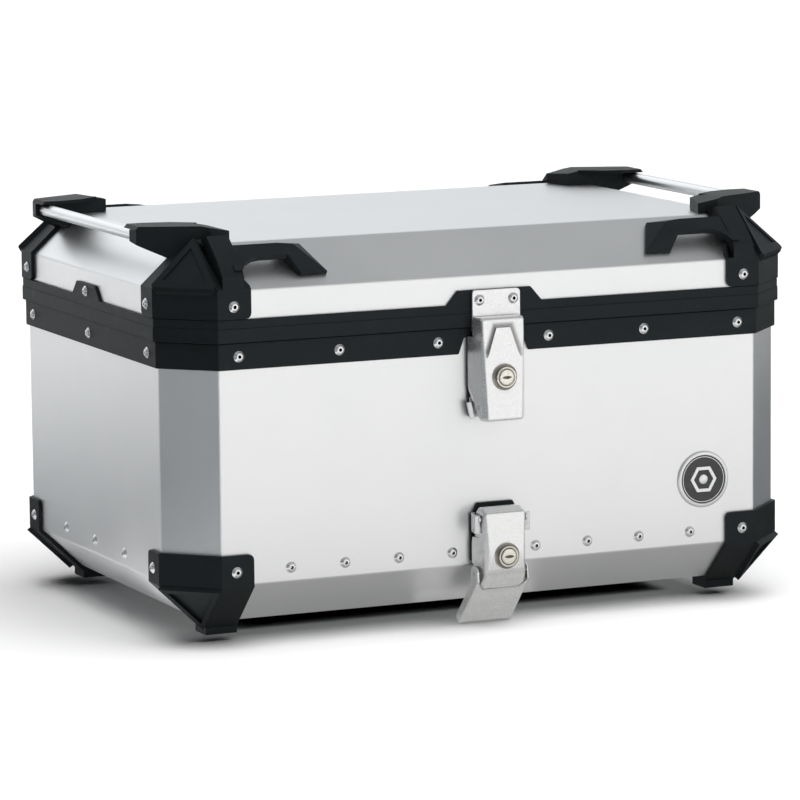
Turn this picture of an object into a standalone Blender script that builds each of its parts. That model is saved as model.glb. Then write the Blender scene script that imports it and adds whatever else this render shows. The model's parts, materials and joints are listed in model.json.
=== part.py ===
"""Aluminium motorcycle top case: a riveted sheet body and lid with moulded corner caps, two carry rails,
a lidded rear hinge, an over-centre lid latch and a release latch with a hook for the carrier plate.

Frame: +X along the width, the latches face -Y, +Z up; the origin is the centre of the flat underside.
"""
import math

import bmesh
import bpy
from mathutils import Matrix, Vector

# ---- driving dimensions (metres) ------------------------------------------------------------------
HALF_WIDTH = 0.280            # body walls
HALF_DEPTH = 0.1925
CORNER = 0.0375               # legs of the vertical corner chamfers
SHEET = 0.002                 # aluminium sheet
GAP = 0.0003                  # between pieces that touch

EMBOSS = 0.001                # a panel is pressed this far out of the floor, down to Z = 0
FLOOR_PANEL = ((-0.200, -0.125), (0.200, 0.085))
SKIRT_TOP = 0.036             # the walls slope inwards below this height
SKIRT_INSET = 0.0375
BODY_RIM = 0.228              # upper edge of the body sheet
BODY_COLLAR = (0.2125, 0.2342)
BODY_COLLAR_OUT = 0.0026      # how far each collar stands out of the body's walls
LID_COLLAR = (0.2346, 0.2535)
LID_COLLAR_OUT = 0.0050
COLLAR_IN = 0.0048            # how far the collars reach inside the body's walls

LID_FLARE = 0.002             # the lid's sheet is this much wider than the body's
LID_SHEET_LOW = 0.238
LID_BEND = 0.2765             # the lid's walls turn into slopes here
LID_TOP = 0.3110
LID_TOP_HALF = (0.2437, 0.1502)   # the flat top reaches this far in X and in Y

CAP_SKIN = 0.0032             # thickness of the moulded corner caps
RIM_HEIGHT = 0.0075           # the raised triangle on each cap
LOWER_RIM_FLOOR, LID_RIM_FLOOR = 0.0048, 0.0063
LOWER_RIM_WIDTH, LID_RIM_WIDTH = 0.0036, 0.0048
CAP_ROUND = 0.0045            # radius of the caps' free corners
CAP_X = 0.2155                # the caps cover everything further out than this
LOWER_CAP_Y = 0.1325
LOWER_CAP_TOP = 0.0615
FOOT_LOW, FOOT_TOP = -0.0100, -0.0040   # below FOOT_TOP the feet's faces are upright
LID_CAP_Y = 0.1320
POST_X = 0.2213               # the lid cap's post starts here

RAIL_X, RAIL_Z = 0.279, 0.316
RAIL_RADIUS = 0.00525
RAIL_HALF_LENGTH = 0.1235
ARM_TOP = 0.3246

RIVET_HEAD = 0.0046           # radius of a rivet's head
RIVET_SHANK = 0.0021
LOWER_RIVET_Z = 0.0475
LID_RIVET_Z = 0.264
CAP_RIVET_X, CAP_RIVET_Y = 0.2305, 0.143

HINGE_Y, HINGE_Z = 0.2026, 0.23435
HINGE_X = 0.150               # middle of each hinge
HINGE_HALF = 0.030
KNUCKLE = 0.004
HINGE_PIN = 0.0018

UPPER_PIVOT = (0.016, 0.169)  # latch axes: distance out of the front wall, height
CLAW_PIVOT = (0.012, 0.213)
UPPER_LOCK_Z, UPPER_LOCK_FACE = 0.1945, 0.0222
LOWER_PIVOT = (0.0148, 0.076)
HOOK_PIVOT = (0.0115, 0.0305)
LOWER_LOCK_Z, LOWER_LOCK_FACE = 0.046, 0.0242
LATCH_PIN = 0.0017
PIN_CLEARANCE = 0.00015

BADGE = (0.1944, 0.0915)
BADGE_RADIUS = 0.0240

for old in list(bpy.data.objects):
    bpy.data.objects.remove(old, do_unlink=True)

case = bpy.data.collections.new("top_case")
bpy.context.scene.collection.children.link(case)


# ---- helpers --------------------------------------------------------------------------------------
def material(name, colour, roughness, metallic=0.0):
    made = bpy.data.materials.new(name)
    made.use_nodes = True
    shader = made.node_tree.nodes["Principled BSDF"]
    shader.inputs["Base Color"].default_value = (*colour, 1.0)
    shader.inputs["Roughness"].default_value = roughness
    shader.inputs["Metallic"].default_value = metallic
    return made


SATIN = material("satin_aluminium", (0.74, 0.75, 0.77), 0.42, 1.0)
PLASTIC = material("black_plastic", (0.022, 0.025, 0.028), 0.45)
CAST = material("die_cast_zinc", (0.62, 0.63, 0.65), 0.35, 1.0)
NICKEL = material("nickel_plate", (0.66, 0.62, 0.55), 0.22, 1.0)
STEEL = material("zinc_plated_steel", (0.55, 0.56, 0.58), 0.30, 1.0)
RUBBER = material("seal_rubber", (0.015, 0.015, 0.016), 0.85)
ENAMEL = material("badge_enamel", (0.10, 0.10, 0.11), 0.30)


def from_bmesh(name, bm):
    mesh = bpy.data.meshes.new(name)
    bm.to_mesh(mesh)
    bm.free()
    made = bpy.data.objects.new(name, mesh)
    case.objects.link(made)
    return made


def finish(piece, look, origin=None):
    """Give a finished piece its material and, on a moving piece, its origin on the joint's axis."""
    piece.data.materials.clear()
    piece.data.materials.append(look)
    if origin is not None:
        piece.data.transform(Matrix.Translation(-Vector(origin)))
        piece.location = origin
    piece.data.shade_smooth()
    piece.data.set_sharp_from_angle(angle=math.radians(32))
    return piece


def evaluated_mesh(piece):
    bpy.context.view_layer.update()
    return bpy.data.meshes.new_from_object(piece.evaluated_get(bpy.context.evaluated_depsgraph_get()))


def bake(piece):
    """Replace a piece's mesh by what its modifiers make of it."""
    mesh = evaluated_mesh(piece)
    piece.modifiers.clear()
    piece.data = mesh
    return piece


def boolean(piece, tool, operation):
    step = piece.modifiers.new(operation.lower(), "BOOLEAN")
    step.object = tool
    step.operation = operation
    step.solver = "EXACT"
    bake(piece)
    bpy.data.objects.remove(tool, do_unlink=True)
    return piece


def cut(piece, *tools):
    for tool in tools:
        boolean(piece, tool, "DIFFERENCE")
    return piece


def join(piece, *tools):
    for tool in tools:
        boolean(piece, tool, "UNION")
    return piece


def clipped_block(name, low, high, planes=()):
    """A box from corner low to corner high, cut down by planes (outward normal, distance)."""
    bm = bmesh.new()
    bmesh.ops.create_cube(bm, size=1.0)
    low, high = Vector(low), Vector(high)
    size = high - low
    bmesh.ops.scale(bm, vec=size, verts=bm.verts)
    bmesh.ops.translate(bm, vec=(low + high) / 2, verts=bm.verts)
    for normal, distance in planes:
        everything = bm.verts[:] + bm.edges[:] + bm.faces[:]
        result = bmesh.ops.bisect_plane(bm, geom=everything, dist=2e-6, plane_co=normal * distance,
                                        plane_no=normal, clear_outer=True)
        rim = [e for e in result["geom_cut"] if isinstance(e, bmesh.types.BMEdge)]
        if rim:
            bmesh.ops.edgeloop_fill(bm, edges=rim)
    bmesh.ops.recalc_face_normals(bm, faces=bm.faces)
    return from_bmesh(name, bm)


def hull(name, points):
    """The smallest convex body round some points."""
    bm = bmesh.new()
    for point in points:
        bm.verts.new(point)
    made = bmesh.ops.convex_hull(bm, input=bm.verts)
    loose = [v for v in made["geom_interior"] + made["geom_unused"] if isinstance(v, bmesh.types.BMVert)]
    bmesh.ops.delete(bm, geom=loose, context="VERTS")
    bmesh.ops.dissolve_limit(bm, angle_limit=math.radians(0.5), verts=bm.verts, edges=bm.edges)
    bmesh.ops.recalc_face_normals(bm, faces=bm.faces)
    return from_bmesh(name, bm)


def round_edges(piece, radius, *lines):
    """Round the edges on the given lines; a line is a point with None along its free axis."""
    bm = bmesh.new()
    bm.from_mesh(piece.data)
    chosen = [e for e in bm.edges for line in lines
              if all(c is None or abs(v.co[i] - c) < 1e-5 for v in e.verts for i, c in enumerate(line))]
    bmesh.ops.bevel(bm, geom=chosen, offset=radius, segments=3, profile=0.5, affect="EDGES")
    bm.to_mesh(piece.data)
    bm.free()
    return piece


AXES = {
    "xy": Matrix(((1, 0, 0, 0), (0, 1, 0, 0), (0, 0, 1, 0), (0, 0, 0, 1))),
    "xz": Matrix(((1, 0, 0, 0), (0, 0, -1, 0), (0, 1, 0, 0), (0, 0, 0, 1))),
    "yz": Matrix(((0, 0, 1, 0), (1, 0, 0, 0), (0, 1, 0, 0), (0, 0, 0, 1))),
}


def outline_solid(name, points, low, high, frame):
    """A flat outline thickened from low to high along the local Z of frame."""
    curve = bpy.data.curves.new(name, "CURVE")
    curve.dimensions = "2D"
    curve.fill_mode = "BOTH"
    curve.extrude = (high - low) / 2
    spline = curve.splines.new("POLY")
    spline.points.add(len(points) - 1)
    for control, (u, v) in zip(spline.points, points):
        control.co = (u, v, 0, 1)
    spline.use_cyclic_u = True
    drawn = bpy.data.objects.new(name, curve)
    case.objects.link(drawn)
    mesh = evaluated_mesh(drawn)
    bpy.data.objects.remove(drawn, do_unlink=True)
    bm = bmesh.new()
    bm.from_mesh(mesh)
    bmesh.ops.remove_doubles(bm, verts=bm.verts, dist=1e-6)
    bmesh.ops.translate(bm, vec=(0, 0, (low + high) / 2), verts=bm.verts)
    bmesh.ops.transform(bm, matrix=frame, verts=bm.verts)
    bmesh.ops.recalc_face_normals(bm, faces=bm.faces)
    bmesh.ops.dissolve_limit(bm, angle_limit=math.radians(0.5), verts=bm.verts, edges=bm.edges)
    return from_bmesh(name, bm)


def side_solid(name, points, half_width, middle=0.0):
    """An outline of (distance out of the front wall, height), extruded across the width."""
    placed = [(out(t), z) for t, z in points]
    return outline_solid(name, placed, middle - half_width, middle + half_width, AXES["yz"])


def out(distance):
    return -(HALF_DEPTH + distance)


def arc(centre, radius, start, end, steps):
    """Points on an arc, angles in degrees."""
    angles = [math.radians(start + (end - start) * i / steps) for i in range(steps + 1)]
    return [(centre[0] + radius * math.cos(a), centre[1] + radius * math.sin(a)) for a in angles]


def cylinder(name, start, end, radius, sides=16):
    """A round bar between two points."""
    start, end = Vector(start), Vector(end)
    along = end - start
    bm = bmesh.new()
    bmesh.ops.create_cone(bm, cap_ends=True, segments=sides, radius1=radius, radius2=radius,
                          depth=along.length)
    turn = along.to_track_quat("Z", "Y").to_matrix().to_4x4()
    bmesh.ops.transform(bm, matrix=Matrix.Translation((start + end) / 2) @ turn, verts=bm.verts)
    return from_bmesh(name, bm)


def turned(name, profile, place, direction, steps=12):
    """A profile of (radius, height) turned about the line through place along direction."""
    bm = bmesh.new()
    ring = [bm.verts.new((radius, 0, height)) for radius, height in profile]
    for one, other in zip(ring, ring[1:]):
        bm.edges.new((one, other))
    if profile[0][0] > 0:
        bm.edges.new((ring[-1], ring[0]))
    made = from_bmesh(name, bm)
    screw = made.modifiers.new("turn", "SCREW")
    screw.steps = screw.render_steps = steps
    screw.use_merge_vertices = True
    screw.merge_threshold = 1e-5
    bake(made)
    turn = Vector(direction).to_track_quat("Z", "Y").to_matrix().to_4x4()
    made.data.transform(Matrix.Translation(place) @ turn)
    bm = bmesh.new()
    bm.from_mesh(made.data)
    bmesh.ops.recalc_face_normals(bm, faces=bm.faces)
    bm.to_mesh(made.data)
    bm.free()
    return made


def mirrored(piece, name, x_sign, y_sign):
    mesh = piece.data.copy()
    mesh.transform(Matrix.Diagonal((x_sign, y_sign, 1, 1)))
    if x_sign * y_sign < 0:
        mesh.flip_normals()
    made = bpy.data.objects.new(name, mesh)
    case.objects.link(made)
    return made


CORNERS = {"front_left": (-1, -1), "front_right": (1, -1), "rear_right": (1, 1), "rear_left": (-1, 1)}


# ---- the case's outer form, as planes that can be offset ------------------------------------------
def four_ways(normal):
    signs = ((sx, sy) for sx in (1, -1) for sy in (1, -1))
    return {tuple(round(c, 9) for c in (sx * normal[0], sy * normal[1], normal[2])) for sx, sy in signs}


def spread(normal, distance):
    return [(Vector(n), distance) for n in sorted(four_ways(normal))]


def wall_planes(offset):
    """The four walls and the four chamfers between them."""
    slant = Vector((1, 1, 0)).normalized()
    chamfer = slant.dot((HALF_WIDTH, HALF_DEPTH - CORNER, 0)) + offset
    return (spread((1, 0, 0), HALF_WIDTH + offset) + spread((0, 1, 0), HALF_DEPTH + offset)
            + spread(slant, chamfer))


def chamfer_ends(offset):
    """Where the walls, moved out by offset, meet the chamfer: the side's end and the front's end."""
    reach = HALF_WIDTH + HALF_DEPTH - CORNER + math.sqrt(2) * offset
    side, front = HALF_WIDTH + offset, HALF_DEPTH + offset
    return (side, reach - side), (reach - front, front)


def sloping_planes(base, bend, flat_half, flat_z, offset):
    """Slopes from the walls at height bend to a rectangle at height flat_z, with three-sided corners."""
    rise = flat_z - bend
    facing = 1 if rise > 0 else -1
    (ax, ay), (bx, by) = chamfer_ends(base)
    side = Vector((abs(rise), 0, facing * (ax - flat_half[0]))).normalized()
    front = Vector((0, abs(rise), facing * (by - flat_half[1]))).normalized()
    a, b = Vector((ax, ay, bend)), Vector((bx, by, bend))
    c = Vector((flat_half[0], flat_half[1], flat_z))
    corner = (b - a).cross(c - a).normalized()
    if corner.x < 0:
        corner = -corner
    planes = spread(side, side.dot(a) + offset) + spread(front, front.dot(b) + offset)
    return planes + spread(corner, corner.dot(a) + offset), (a, b, c, corner)


BODY_FLOOR_HALF = (HALF_WIDTH - SKIRT_INSET, HALF_DEPTH - SKIRT_INSET)


def body_form(name, offset, low, high):
    planes = wall_planes(offset) + sloping_planes(0, SKIRT_TOP, BODY_FLOOR_HALF, 0, offset)[0]
    return clipped_block(name, (-0.4, -0.4, low), (0.4, 0.4, high), planes)


def lid_form(name, offset, low, high):
    walls = wall_planes(LID_FLARE + offset)
    slopes = sloping_planes(LID_FLARE, LID_BEND, LID_TOP_HALF, LID_TOP, offset)[0]
    return clipped_block(name, (-0.4, -0.4, low), (0.4, 0.4, high), walls + slopes)


def ring(name, outer, inner, low, high):
    """An eight-sided ring round the case between two offsets of its walls."""
    made = clipped_block(name, (-0.4, -0.4, low), (0.4, 0.4, high), wall_planes(outer))
    return cut(made, clipped_block("core", (-0.4, -0.4, low - 0.01), (0.4, 0.4, high + 0.01),
                                   wall_planes(inner)))


def facet_plate(name, facet, inset, low, high):
    """A three-sided plate on a corner facet, with its edges moved in by inset."""
    a, b, c, normal = facet
    across = (b - a).normalized()
    up = normal.cross(across).normalized()
    flat = [Vector(((p - a).dot(across), (p - a).dot(up))) for p in (a, b, c)]
    middle = sum(flat, Vector((0, 0))) / 3
    edges = [(flat[i], flat[(i + 1) % 3]) for i in range(3)]
    moved = []
    for start, end in edges:
        along = (end - start).normalized()
        inward = Vector((-along.y, along.x))
        if inward.dot(middle - start) < 0:
            inward = -inward
        moved.append((start + inward * inset, along))
    corners = []
    for (p, d), (q, e) in zip(moved, moved[1:] + moved[:1]):
        step = (q - p).cross(e) / d.cross(e)
        corners.append(tuple(p + d * step))
    frame = Matrix((across, up, normal)).transposed().to_4x4()
    frame.translation = a
    if frame.determinant() < 0:
        raise ValueError("left-handed facet frame")
    return outline_solid(name, corners, low, high, frame)


# ---- rivets ---------------------------------------------------------------------------------------
CAP_RIVETS_LOWER = {"front": ((CAP_RIVET_X, HALF_DEPTH + CAP_SKIN, LOWER_RIVET_Z), (0, 1, 0)),
                    "side": ((HALF_WIDTH + CAP_SKIN, CAP_RIVET_Y, LOWER_RIVET_Z), (1, 0, 0))}
CAP_RIVETS_LID = {"front": ((CAP_RIVET_X, HALF_DEPTH + LID_FLARE + CAP_SKIN, LID_RIVET_Z), (0, 1, 0)),
                  "side": ((HALF_WIDTH + LID_FLARE + CAP_SKIN, CAP_RIVET_Y, LID_RIVET_Z), (1, 0, 0))}
STRIKER_OUT = 0.0078
STRIKER_RIVETS = [((x, out(STRIKER_OUT), 0.257), (0, -1, 0)) for x in (-0.0152, 0.0152)]


def rivet(name, place, direction, grip):
    """A domed blind rivet: place is on the clamped surface, grip is the length of its shank."""
    dome = [(0, 0.0021), (0.0022, 0.0018), (0.0038, 0.0010), (RIVET_HEAD, GAP),
            (RIVET_SHANK, GAP), (RIVET_SHANK, -grip), (0, -grip)]
    return finish(turned(name, dome, place, direction, steps=10), STEEL)


def rivet_hole(place, direction, depth=0.012):
    direction = Vector(direction)
    return cylinder("hole", Vector(place) + direction * 0.004, Vector(place) - direction * depth,
                    RIVET_SHANK + GAP, 10)


def corner_holes(rivets):
    return [rivet_hole((sx * x, sy * y, z), (sx * nx, sy * ny, nz))
            for (x, y, z), (nx, ny, nz) in rivets.values() for sx, sy in CORNERS.values()]


# ---- case body ------------------------------------------------------------------------------------
def make_body_shell():
    shell = body_form("body_shell", 0, EMBOSS, BODY_RIM)
    (x0, y0), (x1, y1) = FLOOR_PANEL
    corners = [(x, y, None) for x in (x0, x1) for y in (y0, y1)]
    panel = clipped_block("panel", (x0, y0, 0), (x1, y1, EMBOSS + 0.001))
    join(shell, round_edges(panel, 0.014, *corners))
    corners = [(x, y, None) for x in (x0 + SHEET, x1 - SHEET) for y in (y0 + SHEET, y1 - SHEET)]
    tray = clipped_block("tray", (x0 + SHEET, y0 + SHEET, SHEET), (x1 - SHEET, y1 - SHEET, 0.004))
    cut(shell, body_form("inside", -SHEET, SHEET + EMBOSS, BODY_RIM + 0.01),
        round_edges(tray, 0.012, *corners), *corner_holes(CAP_RIVETS_LOWER))
    return finish(shell, SATIN)


def make_body_collar():
    low, high = BODY_COLLAR
    collar = ring("body_collar", BODY_COLLAR_OUT, -COLLAR_IN, low, high)
    channel = ring("channel", GAP, -SHEET - GAP, low - 0.01, BODY_RIM + GAP)
    notch = [(-0.032, low - 0.001), (0.032, low - 0.001), (0.0265, low + 0.0135), (-0.0265, low + 0.0135)]
    cut(collar, channel, outline_solid("notch", notch, HALF_DEPTH + 0.0001, HALF_DEPTH + 0.01, AXES["xz"]))
    return finish(collar, PLASTIC)


def make_lower_cap():
    """The moulded foot on the front left corner, without its mirror images."""
    planes, facet = sloping_planes(0, SKIRT_TOP, BODY_FLOOR_HALF, 0, CAP_SKIN)
    skin = clipped_block("lower_cap", (CAP_X, LOWER_CAP_Y, FOOT_LOW), (0.4, 0.4, LOWER_CAP_TOP),
                         wall_planes(CAP_SKIN) + planes)
    round_edges(skin, CAP_ROUND, (CAP_X, None, LOWER_CAP_TOP), (None, LOWER_CAP_Y, LOWER_CAP_TOP))
    upright = []
    for normal, distance in planes:
        level = Vector((normal[0], normal[1], 0))
        upright.append((level.normalized(), (distance - normal[2] * FOOT_TOP) / level.length))
    foot = clipped_block("foot", (CAP_X, LOWER_CAP_Y, FOOT_LOW), (0.4, 0.4, FOOT_TOP), upright)
    join(skin, foot, facet_plate("rim", facet, -0.0005, 0.001, RIM_HEIGHT))
    cut(skin, facet_plate("panel", facet, LOWER_RIM_WIDTH, LOWER_RIM_FLOOR, 0.02),
        body_form("body", GAP, EMBOSS - GAP, 0.1), *[rivet_hole(p, n) for p, n in CAP_RIVETS_LOWER.values()])
    return skin


def make_locating_brackets():
    """Z-shaped tongues under the rear of the floor that slide under the carrier's front edge."""
    top = EMBOSS - GAP
    profile = [(0.095, top), (0.140, top), (0.146, -0.0063), (0.178, -0.0063), (0.178, -0.0093),
               (0.1445, -0.0093), (0.1385, top - 0.0030), (0.095, top - 0.0030)]
    for side, x in (("left", -0.120), ("right", 0.120)):
        tongue = outline_solid(f"locating_bracket_{side}", profile, x - 0.020, x + 0.020, AXES["yz"])
        finish(tongue, STEEL)


def make_badge():
    x, z = BADGE
    disc = [(0, 0.0019), (BADGE_RADIUS - 0.0008, 0.0019), (BADGE_RADIUS, 0.0012), (BADGE_RADIUS, 0.0003),
            (0, 0.0003)]
    finish(turned("badge", disc, (x, -HALF_DEPTH, z), (0, -1, 0), steps=28), ENAMEL)


# ---- lid ------------------------------------------------------------------------------------------
def tab(name, half_base, half_top, frame, low, high):
    base = LID_COLLAR[1] - 0.002
    points = [(-half_base, base), (half_base, base), (half_base, LID_COLLAR[1]), (half_top, 0.2652),
              (-half_top, 0.2652), (-half_base, LID_COLLAR[1])]
    return outline_solid(name, points, low, high, frame)


def make_lid_shell():
    shell = lid_form("lid_shell", 0, LID_SHEET_LOW, LID_TOP)
    inside = lid_form("inside", -SHEET, LID_SHEET_LOW - 0.01, LID_TOP - SHEET)
    cut(shell, inside, *corner_holes(CAP_RIVETS_LID), *[rivet_hole(p, n) for p, n in STRIKER_RIVETS])
    return finish(shell, SATIN)


def make_lid_collar():
    low, high = LID_COLLAR
    collar = ring("lid_collar", LID_COLLAR_OUT, -COLLAR_IN, low, high)
    lid_face = LID_FLARE + GAP
    lip_top = low + 0.0115
    channel = ring("channel", lid_face, -GAP, LID_SHEET_LOW - GAP, high + 0.01)
    above_lip = clipped_block("above", (-0.4, -0.4, lip_top), (0.4, 0.4, high + 0.01), wall_planes(0))
    seal_groove = ring("groove", -0.0006, -0.0036, low - 0.01, low + 0.0028)
    front = tab("tab", 0.043, 0.033, AXES["xz"], HALF_DEPTH + lid_face, HALF_DEPTH + LID_COLLAR_OUT)
    join(collar, front)
    for x_sign in (1, -1):
        low_x, high_x = sorted((x_sign * (HALF_WIDTH + lid_face), x_sign * (HALF_WIDTH + LID_COLLAR_OUT)))
        join(collar, tab("tab", 0.033, 0.022, AXES["yz"], low_x, high_x))
    cut(collar, channel, above_lip, seal_groove, *[rivet_hole(p, n) for p, n in STRIKER_RIVETS])
    return finish(collar, PLASTIC)


def make_lid_gasket():
    return finish(ring("lid_gasket", -0.0009, -0.0033, LID_COLLAR[0], LID_COLLAR[0] + 0.0025), RUBBER)


def slope_frame(facet):
    """Local axes on the front-facing slope at +Y: along X, up the slope, out of it."""
    b, c = facet[1], facet[2]
    up = Vector((0, c.y - b.y, c.z - b.z)).normalized()
    normal = Vector((1, 0, 0)).cross(up)
    across = Vector((1, 0, 0))
    if normal.z < 0:
        across, normal = -across, -normal
    frame = Matrix((across, up, normal)).transposed().to_4x4()
    frame.translation = Vector((0, b.y, b.z))
    return frame, across.x


def make_tie_down_bar(facet):
    """A strap bar over the slope that runs into the cap in a fillet and bends down to a flat foot."""
    frame, sign = slope_frame(facet)
    high, low = 0.0135, 0.0080
    plan = [(0.2280, 0.0385), (0.1830, 0.0385), (0.1690, 0.0362), (0.1776, 0.0245), (0.2020, 0.0245),
            (0.2090, 0.0232), (0.2150, 0.0195), (0.2190, 0.0145), (0.2215, 0.0095), (0.2280, 0.0095)]
    bar = outline_solid("bar", [(sign * x, s) for x, s in plan], low, high, frame)
    knee = [(0.1690, 0.0362, high), (0.1776, 0.0245, high), (0.1830, 0.0385, high), (0.1830, 0.0385, low),
            (0.1776, 0.0245, low)]
    sole = [(0.1720, 0.0445), (0.1580, 0.0460), (0.1443, 0.0126), (0.1675, 0.0119)]
    foot = knee + [(x, s, h) for x, s in sole for h in (GAP, 0.0036)]
    return join(bar, hull("foot", [frame @ Vector((sign * x, s, h)) for x, s, h in foot]))


def make_rim_lip(facet):
    """The lower end of a lid cap's raised triangle: it laps a little way down the corner's wall."""
    start, end, apex, normal = facet
    along = (end - start).normalized()
    fall = normal.cross(along)
    if fall.z > 0:
        fall = -fall
    outward = Vector((normal.x, normal.y, 0)).normalized()
    points = []
    for corner, inward in ((start, along), (end, -along)):
        face = corner + normal * RIM_HEIGHT
        low = face + fall * 0.0025 - outward * 0.0008 - Vector((0, 0, 0.0035))
        foot = corner - outward * 0.0006 - Vector((0, 0, 0.0065))
        points += [face, face + fall * 0.0025 + inward * 0.0006, low + inward * 0.0030,
                   foot + inward * 0.0035, corner + normal * 0.0010 - outward * 0.0010]
    return hull("lip", points)


def make_lid_cap():
    """The moulded cap on one lid corner (at +X, +Y): skin, raised triangle, rail arm and strap bar."""
    planes, facet = sloping_planes(LID_FLARE, LID_BEND, LID_TOP_HALF, LID_TOP, CAP_SKIN)
    cap = clipped_block("lid_cap", (CAP_X, LID_CAP_Y, LID_COLLAR[1] + GAP), (0.4, 0.4, 0.4),
                        wall_planes(LID_FLARE + CAP_SKIN) + planes
                        + [(Vector((0, 0, 1)), LID_TOP + CAP_SKIN)])
    low = LID_COLLAR[1] + GAP
    round_edges(cap, CAP_ROUND, (CAP_X, None, low), (None, LID_CAP_Y, low))
    waist = [(0.2, 0.2805), (CAP_X - 0.0001, 0.2805), (POST_X - 0.0004, 0.2885), (POST_X - 0.0004, 0.35),
             (0.2, 0.35)]
    cut(cap, outline_solid("waist", waist, -0.3, 0.3, AXES["xz"]))
    join(cap, facet_plate("rim", facet, -0.0005, 0.001, RIM_HEIGHT), make_rim_lip(facet))

    web_plan = [(0.2135, 0.1475), (0.2310, 0.1500), (0.2780, 0.1290), (0.2855, 0.1245), (0.2870, 0.1130),
                (0.2500, 0.1150), (0.2210, 0.1180)]
    under = Vector((0.40, -0.15, -1.0)).normalized()
    ramp = Vector((-0.20, 0.02, 1.0)).normalized()
    web = outline_solid("web", web_plan, 0.285, ARM_TOP, AXES["xy"])
    halves = [(under, under.dot((0.261, 0.136, 0.298))), (ramp, ramp.dot((0.2135, 0.1475, 0.3197)))]
    boolean(web, clipped_block("limits", (0.1, 0.05, 0.27), (0.4, 0.3, 0.35), halves), "INTERSECT")
    hood_plan = [(0.2780, 0.1290), (0.2855, 0.1245), (0.2872, 0.1180), (0.2872, 0.0985), (0.2700, 0.0975),
                 (0.2480, 0.1035), (0.2300, 0.1170), (0.2400, 0.1300)]
    hood = outline_solid("hood", hood_plan, RAIL_Z + RAIL_RADIUS + GAP, ARM_TOP - 0.0001, AXES["xy"])
    frame, sign = slope_frame(facet)
    shoulder_side = [(0.0, 0.0010), (-0.0023, 0.0022), (0.0048, 0.0113), (0.0215, 0.0140),
                     (0.0500, 0.0140), (0.0560, 0.0050), (0.0540, 0.0010)]
    across = frame @ AXES["yz"]
    low, high = sorted((sign * POST_X, sign * 0.2400))
    shoulder = outline_solid("shoulder", shoulder_side, low, high, across)
    join(cap, shoulder, web, hood, make_tie_down_bar(facet))

    socket = cylinder("socket", (RAIL_X, 0.05, RAIL_Z), (RAIL_X, RAIL_HALF_LENGTH + GAP, RAIL_Z),
                      RAIL_RADIUS + GAP, 16)
    end_round = Vector((0.75, 0, 0.66)).normalized()
    beyond = (-end_round, -end_round.dot((0.2835, 0, ARM_TOP)))
    cut(cap, clipped_block("arm_end", (0.27, 0.05, 0.30), (0.30, 0.16, 0.34), [beyond]),
        facet_plate("panel", facet, LID_RIM_WIDTH, LID_RIM_FLOOR, 0.05),
        lid_form("lid", GAP, 0.2, LID_TOP + GAP), socket,
        *[rivet_hole(p, n) for p, n in CAP_RIVETS_LID.values()])
    return cap


def make_rails():
    for side, sign in (("left", -1), ("right", 1)):
        curve = bpy.data.curves.new("rail", "CURVE")
        curve.dimensions = "3D"
        curve.bevel_depth = RAIL_RADIUS
        curve.bevel_resolution = 2
        curve.use_fill_caps = True
        spline = curve.splines.new("POLY")
        spline.points.add(1)
        for point, y in zip(spline.points, (-RAIL_HALF_LENGTH, RAIL_HALF_LENGTH)):
            point.co = (sign * RAIL_X, y, RAIL_Z, 1)
        drawn = bpy.data.objects.new("rail_curve", curve)
        case.objects.link(drawn)
        bm = bmesh.new()
        bm.from_mesh(evaluated_mesh(drawn))
        bpy.data.objects.remove(drawn, do_unlink=True)
        bmesh.ops.remove_doubles(bm, verts=bm.verts, dist=1e-6)
        bmesh.ops.recalc_face_normals(bm, faces=bm.faces)
        finish(from_bmesh(f"rail_{side}", bm), SATIN)


def make_striker():
    """The catch plate on the lid's front tab; the lever's claw pulls on the bar along its lower edge."""
    profile = [(LID_COLLAR_OUT + GAP, 0.2650), (STRIKER_OUT, 0.2650), (STRIKER_OUT, 0.2330),
               (0.0093, 0.2325), (0.0093, 0.2295), (LID_COLLAR_OUT + GAP, 0.2295)]
    plate = side_solid("striker_plate", profile, 0.0215)
    round_edges(plate, 0.0028, *[(x, None, z) for x in (-0.0215, 0.0215) for z in (0.2650, 0.2295)])
    cut(plate, *[rivet_hole(p, n) for p, n in STRIKER_RIVETS])
    return finish(plate, CAST)


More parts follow.
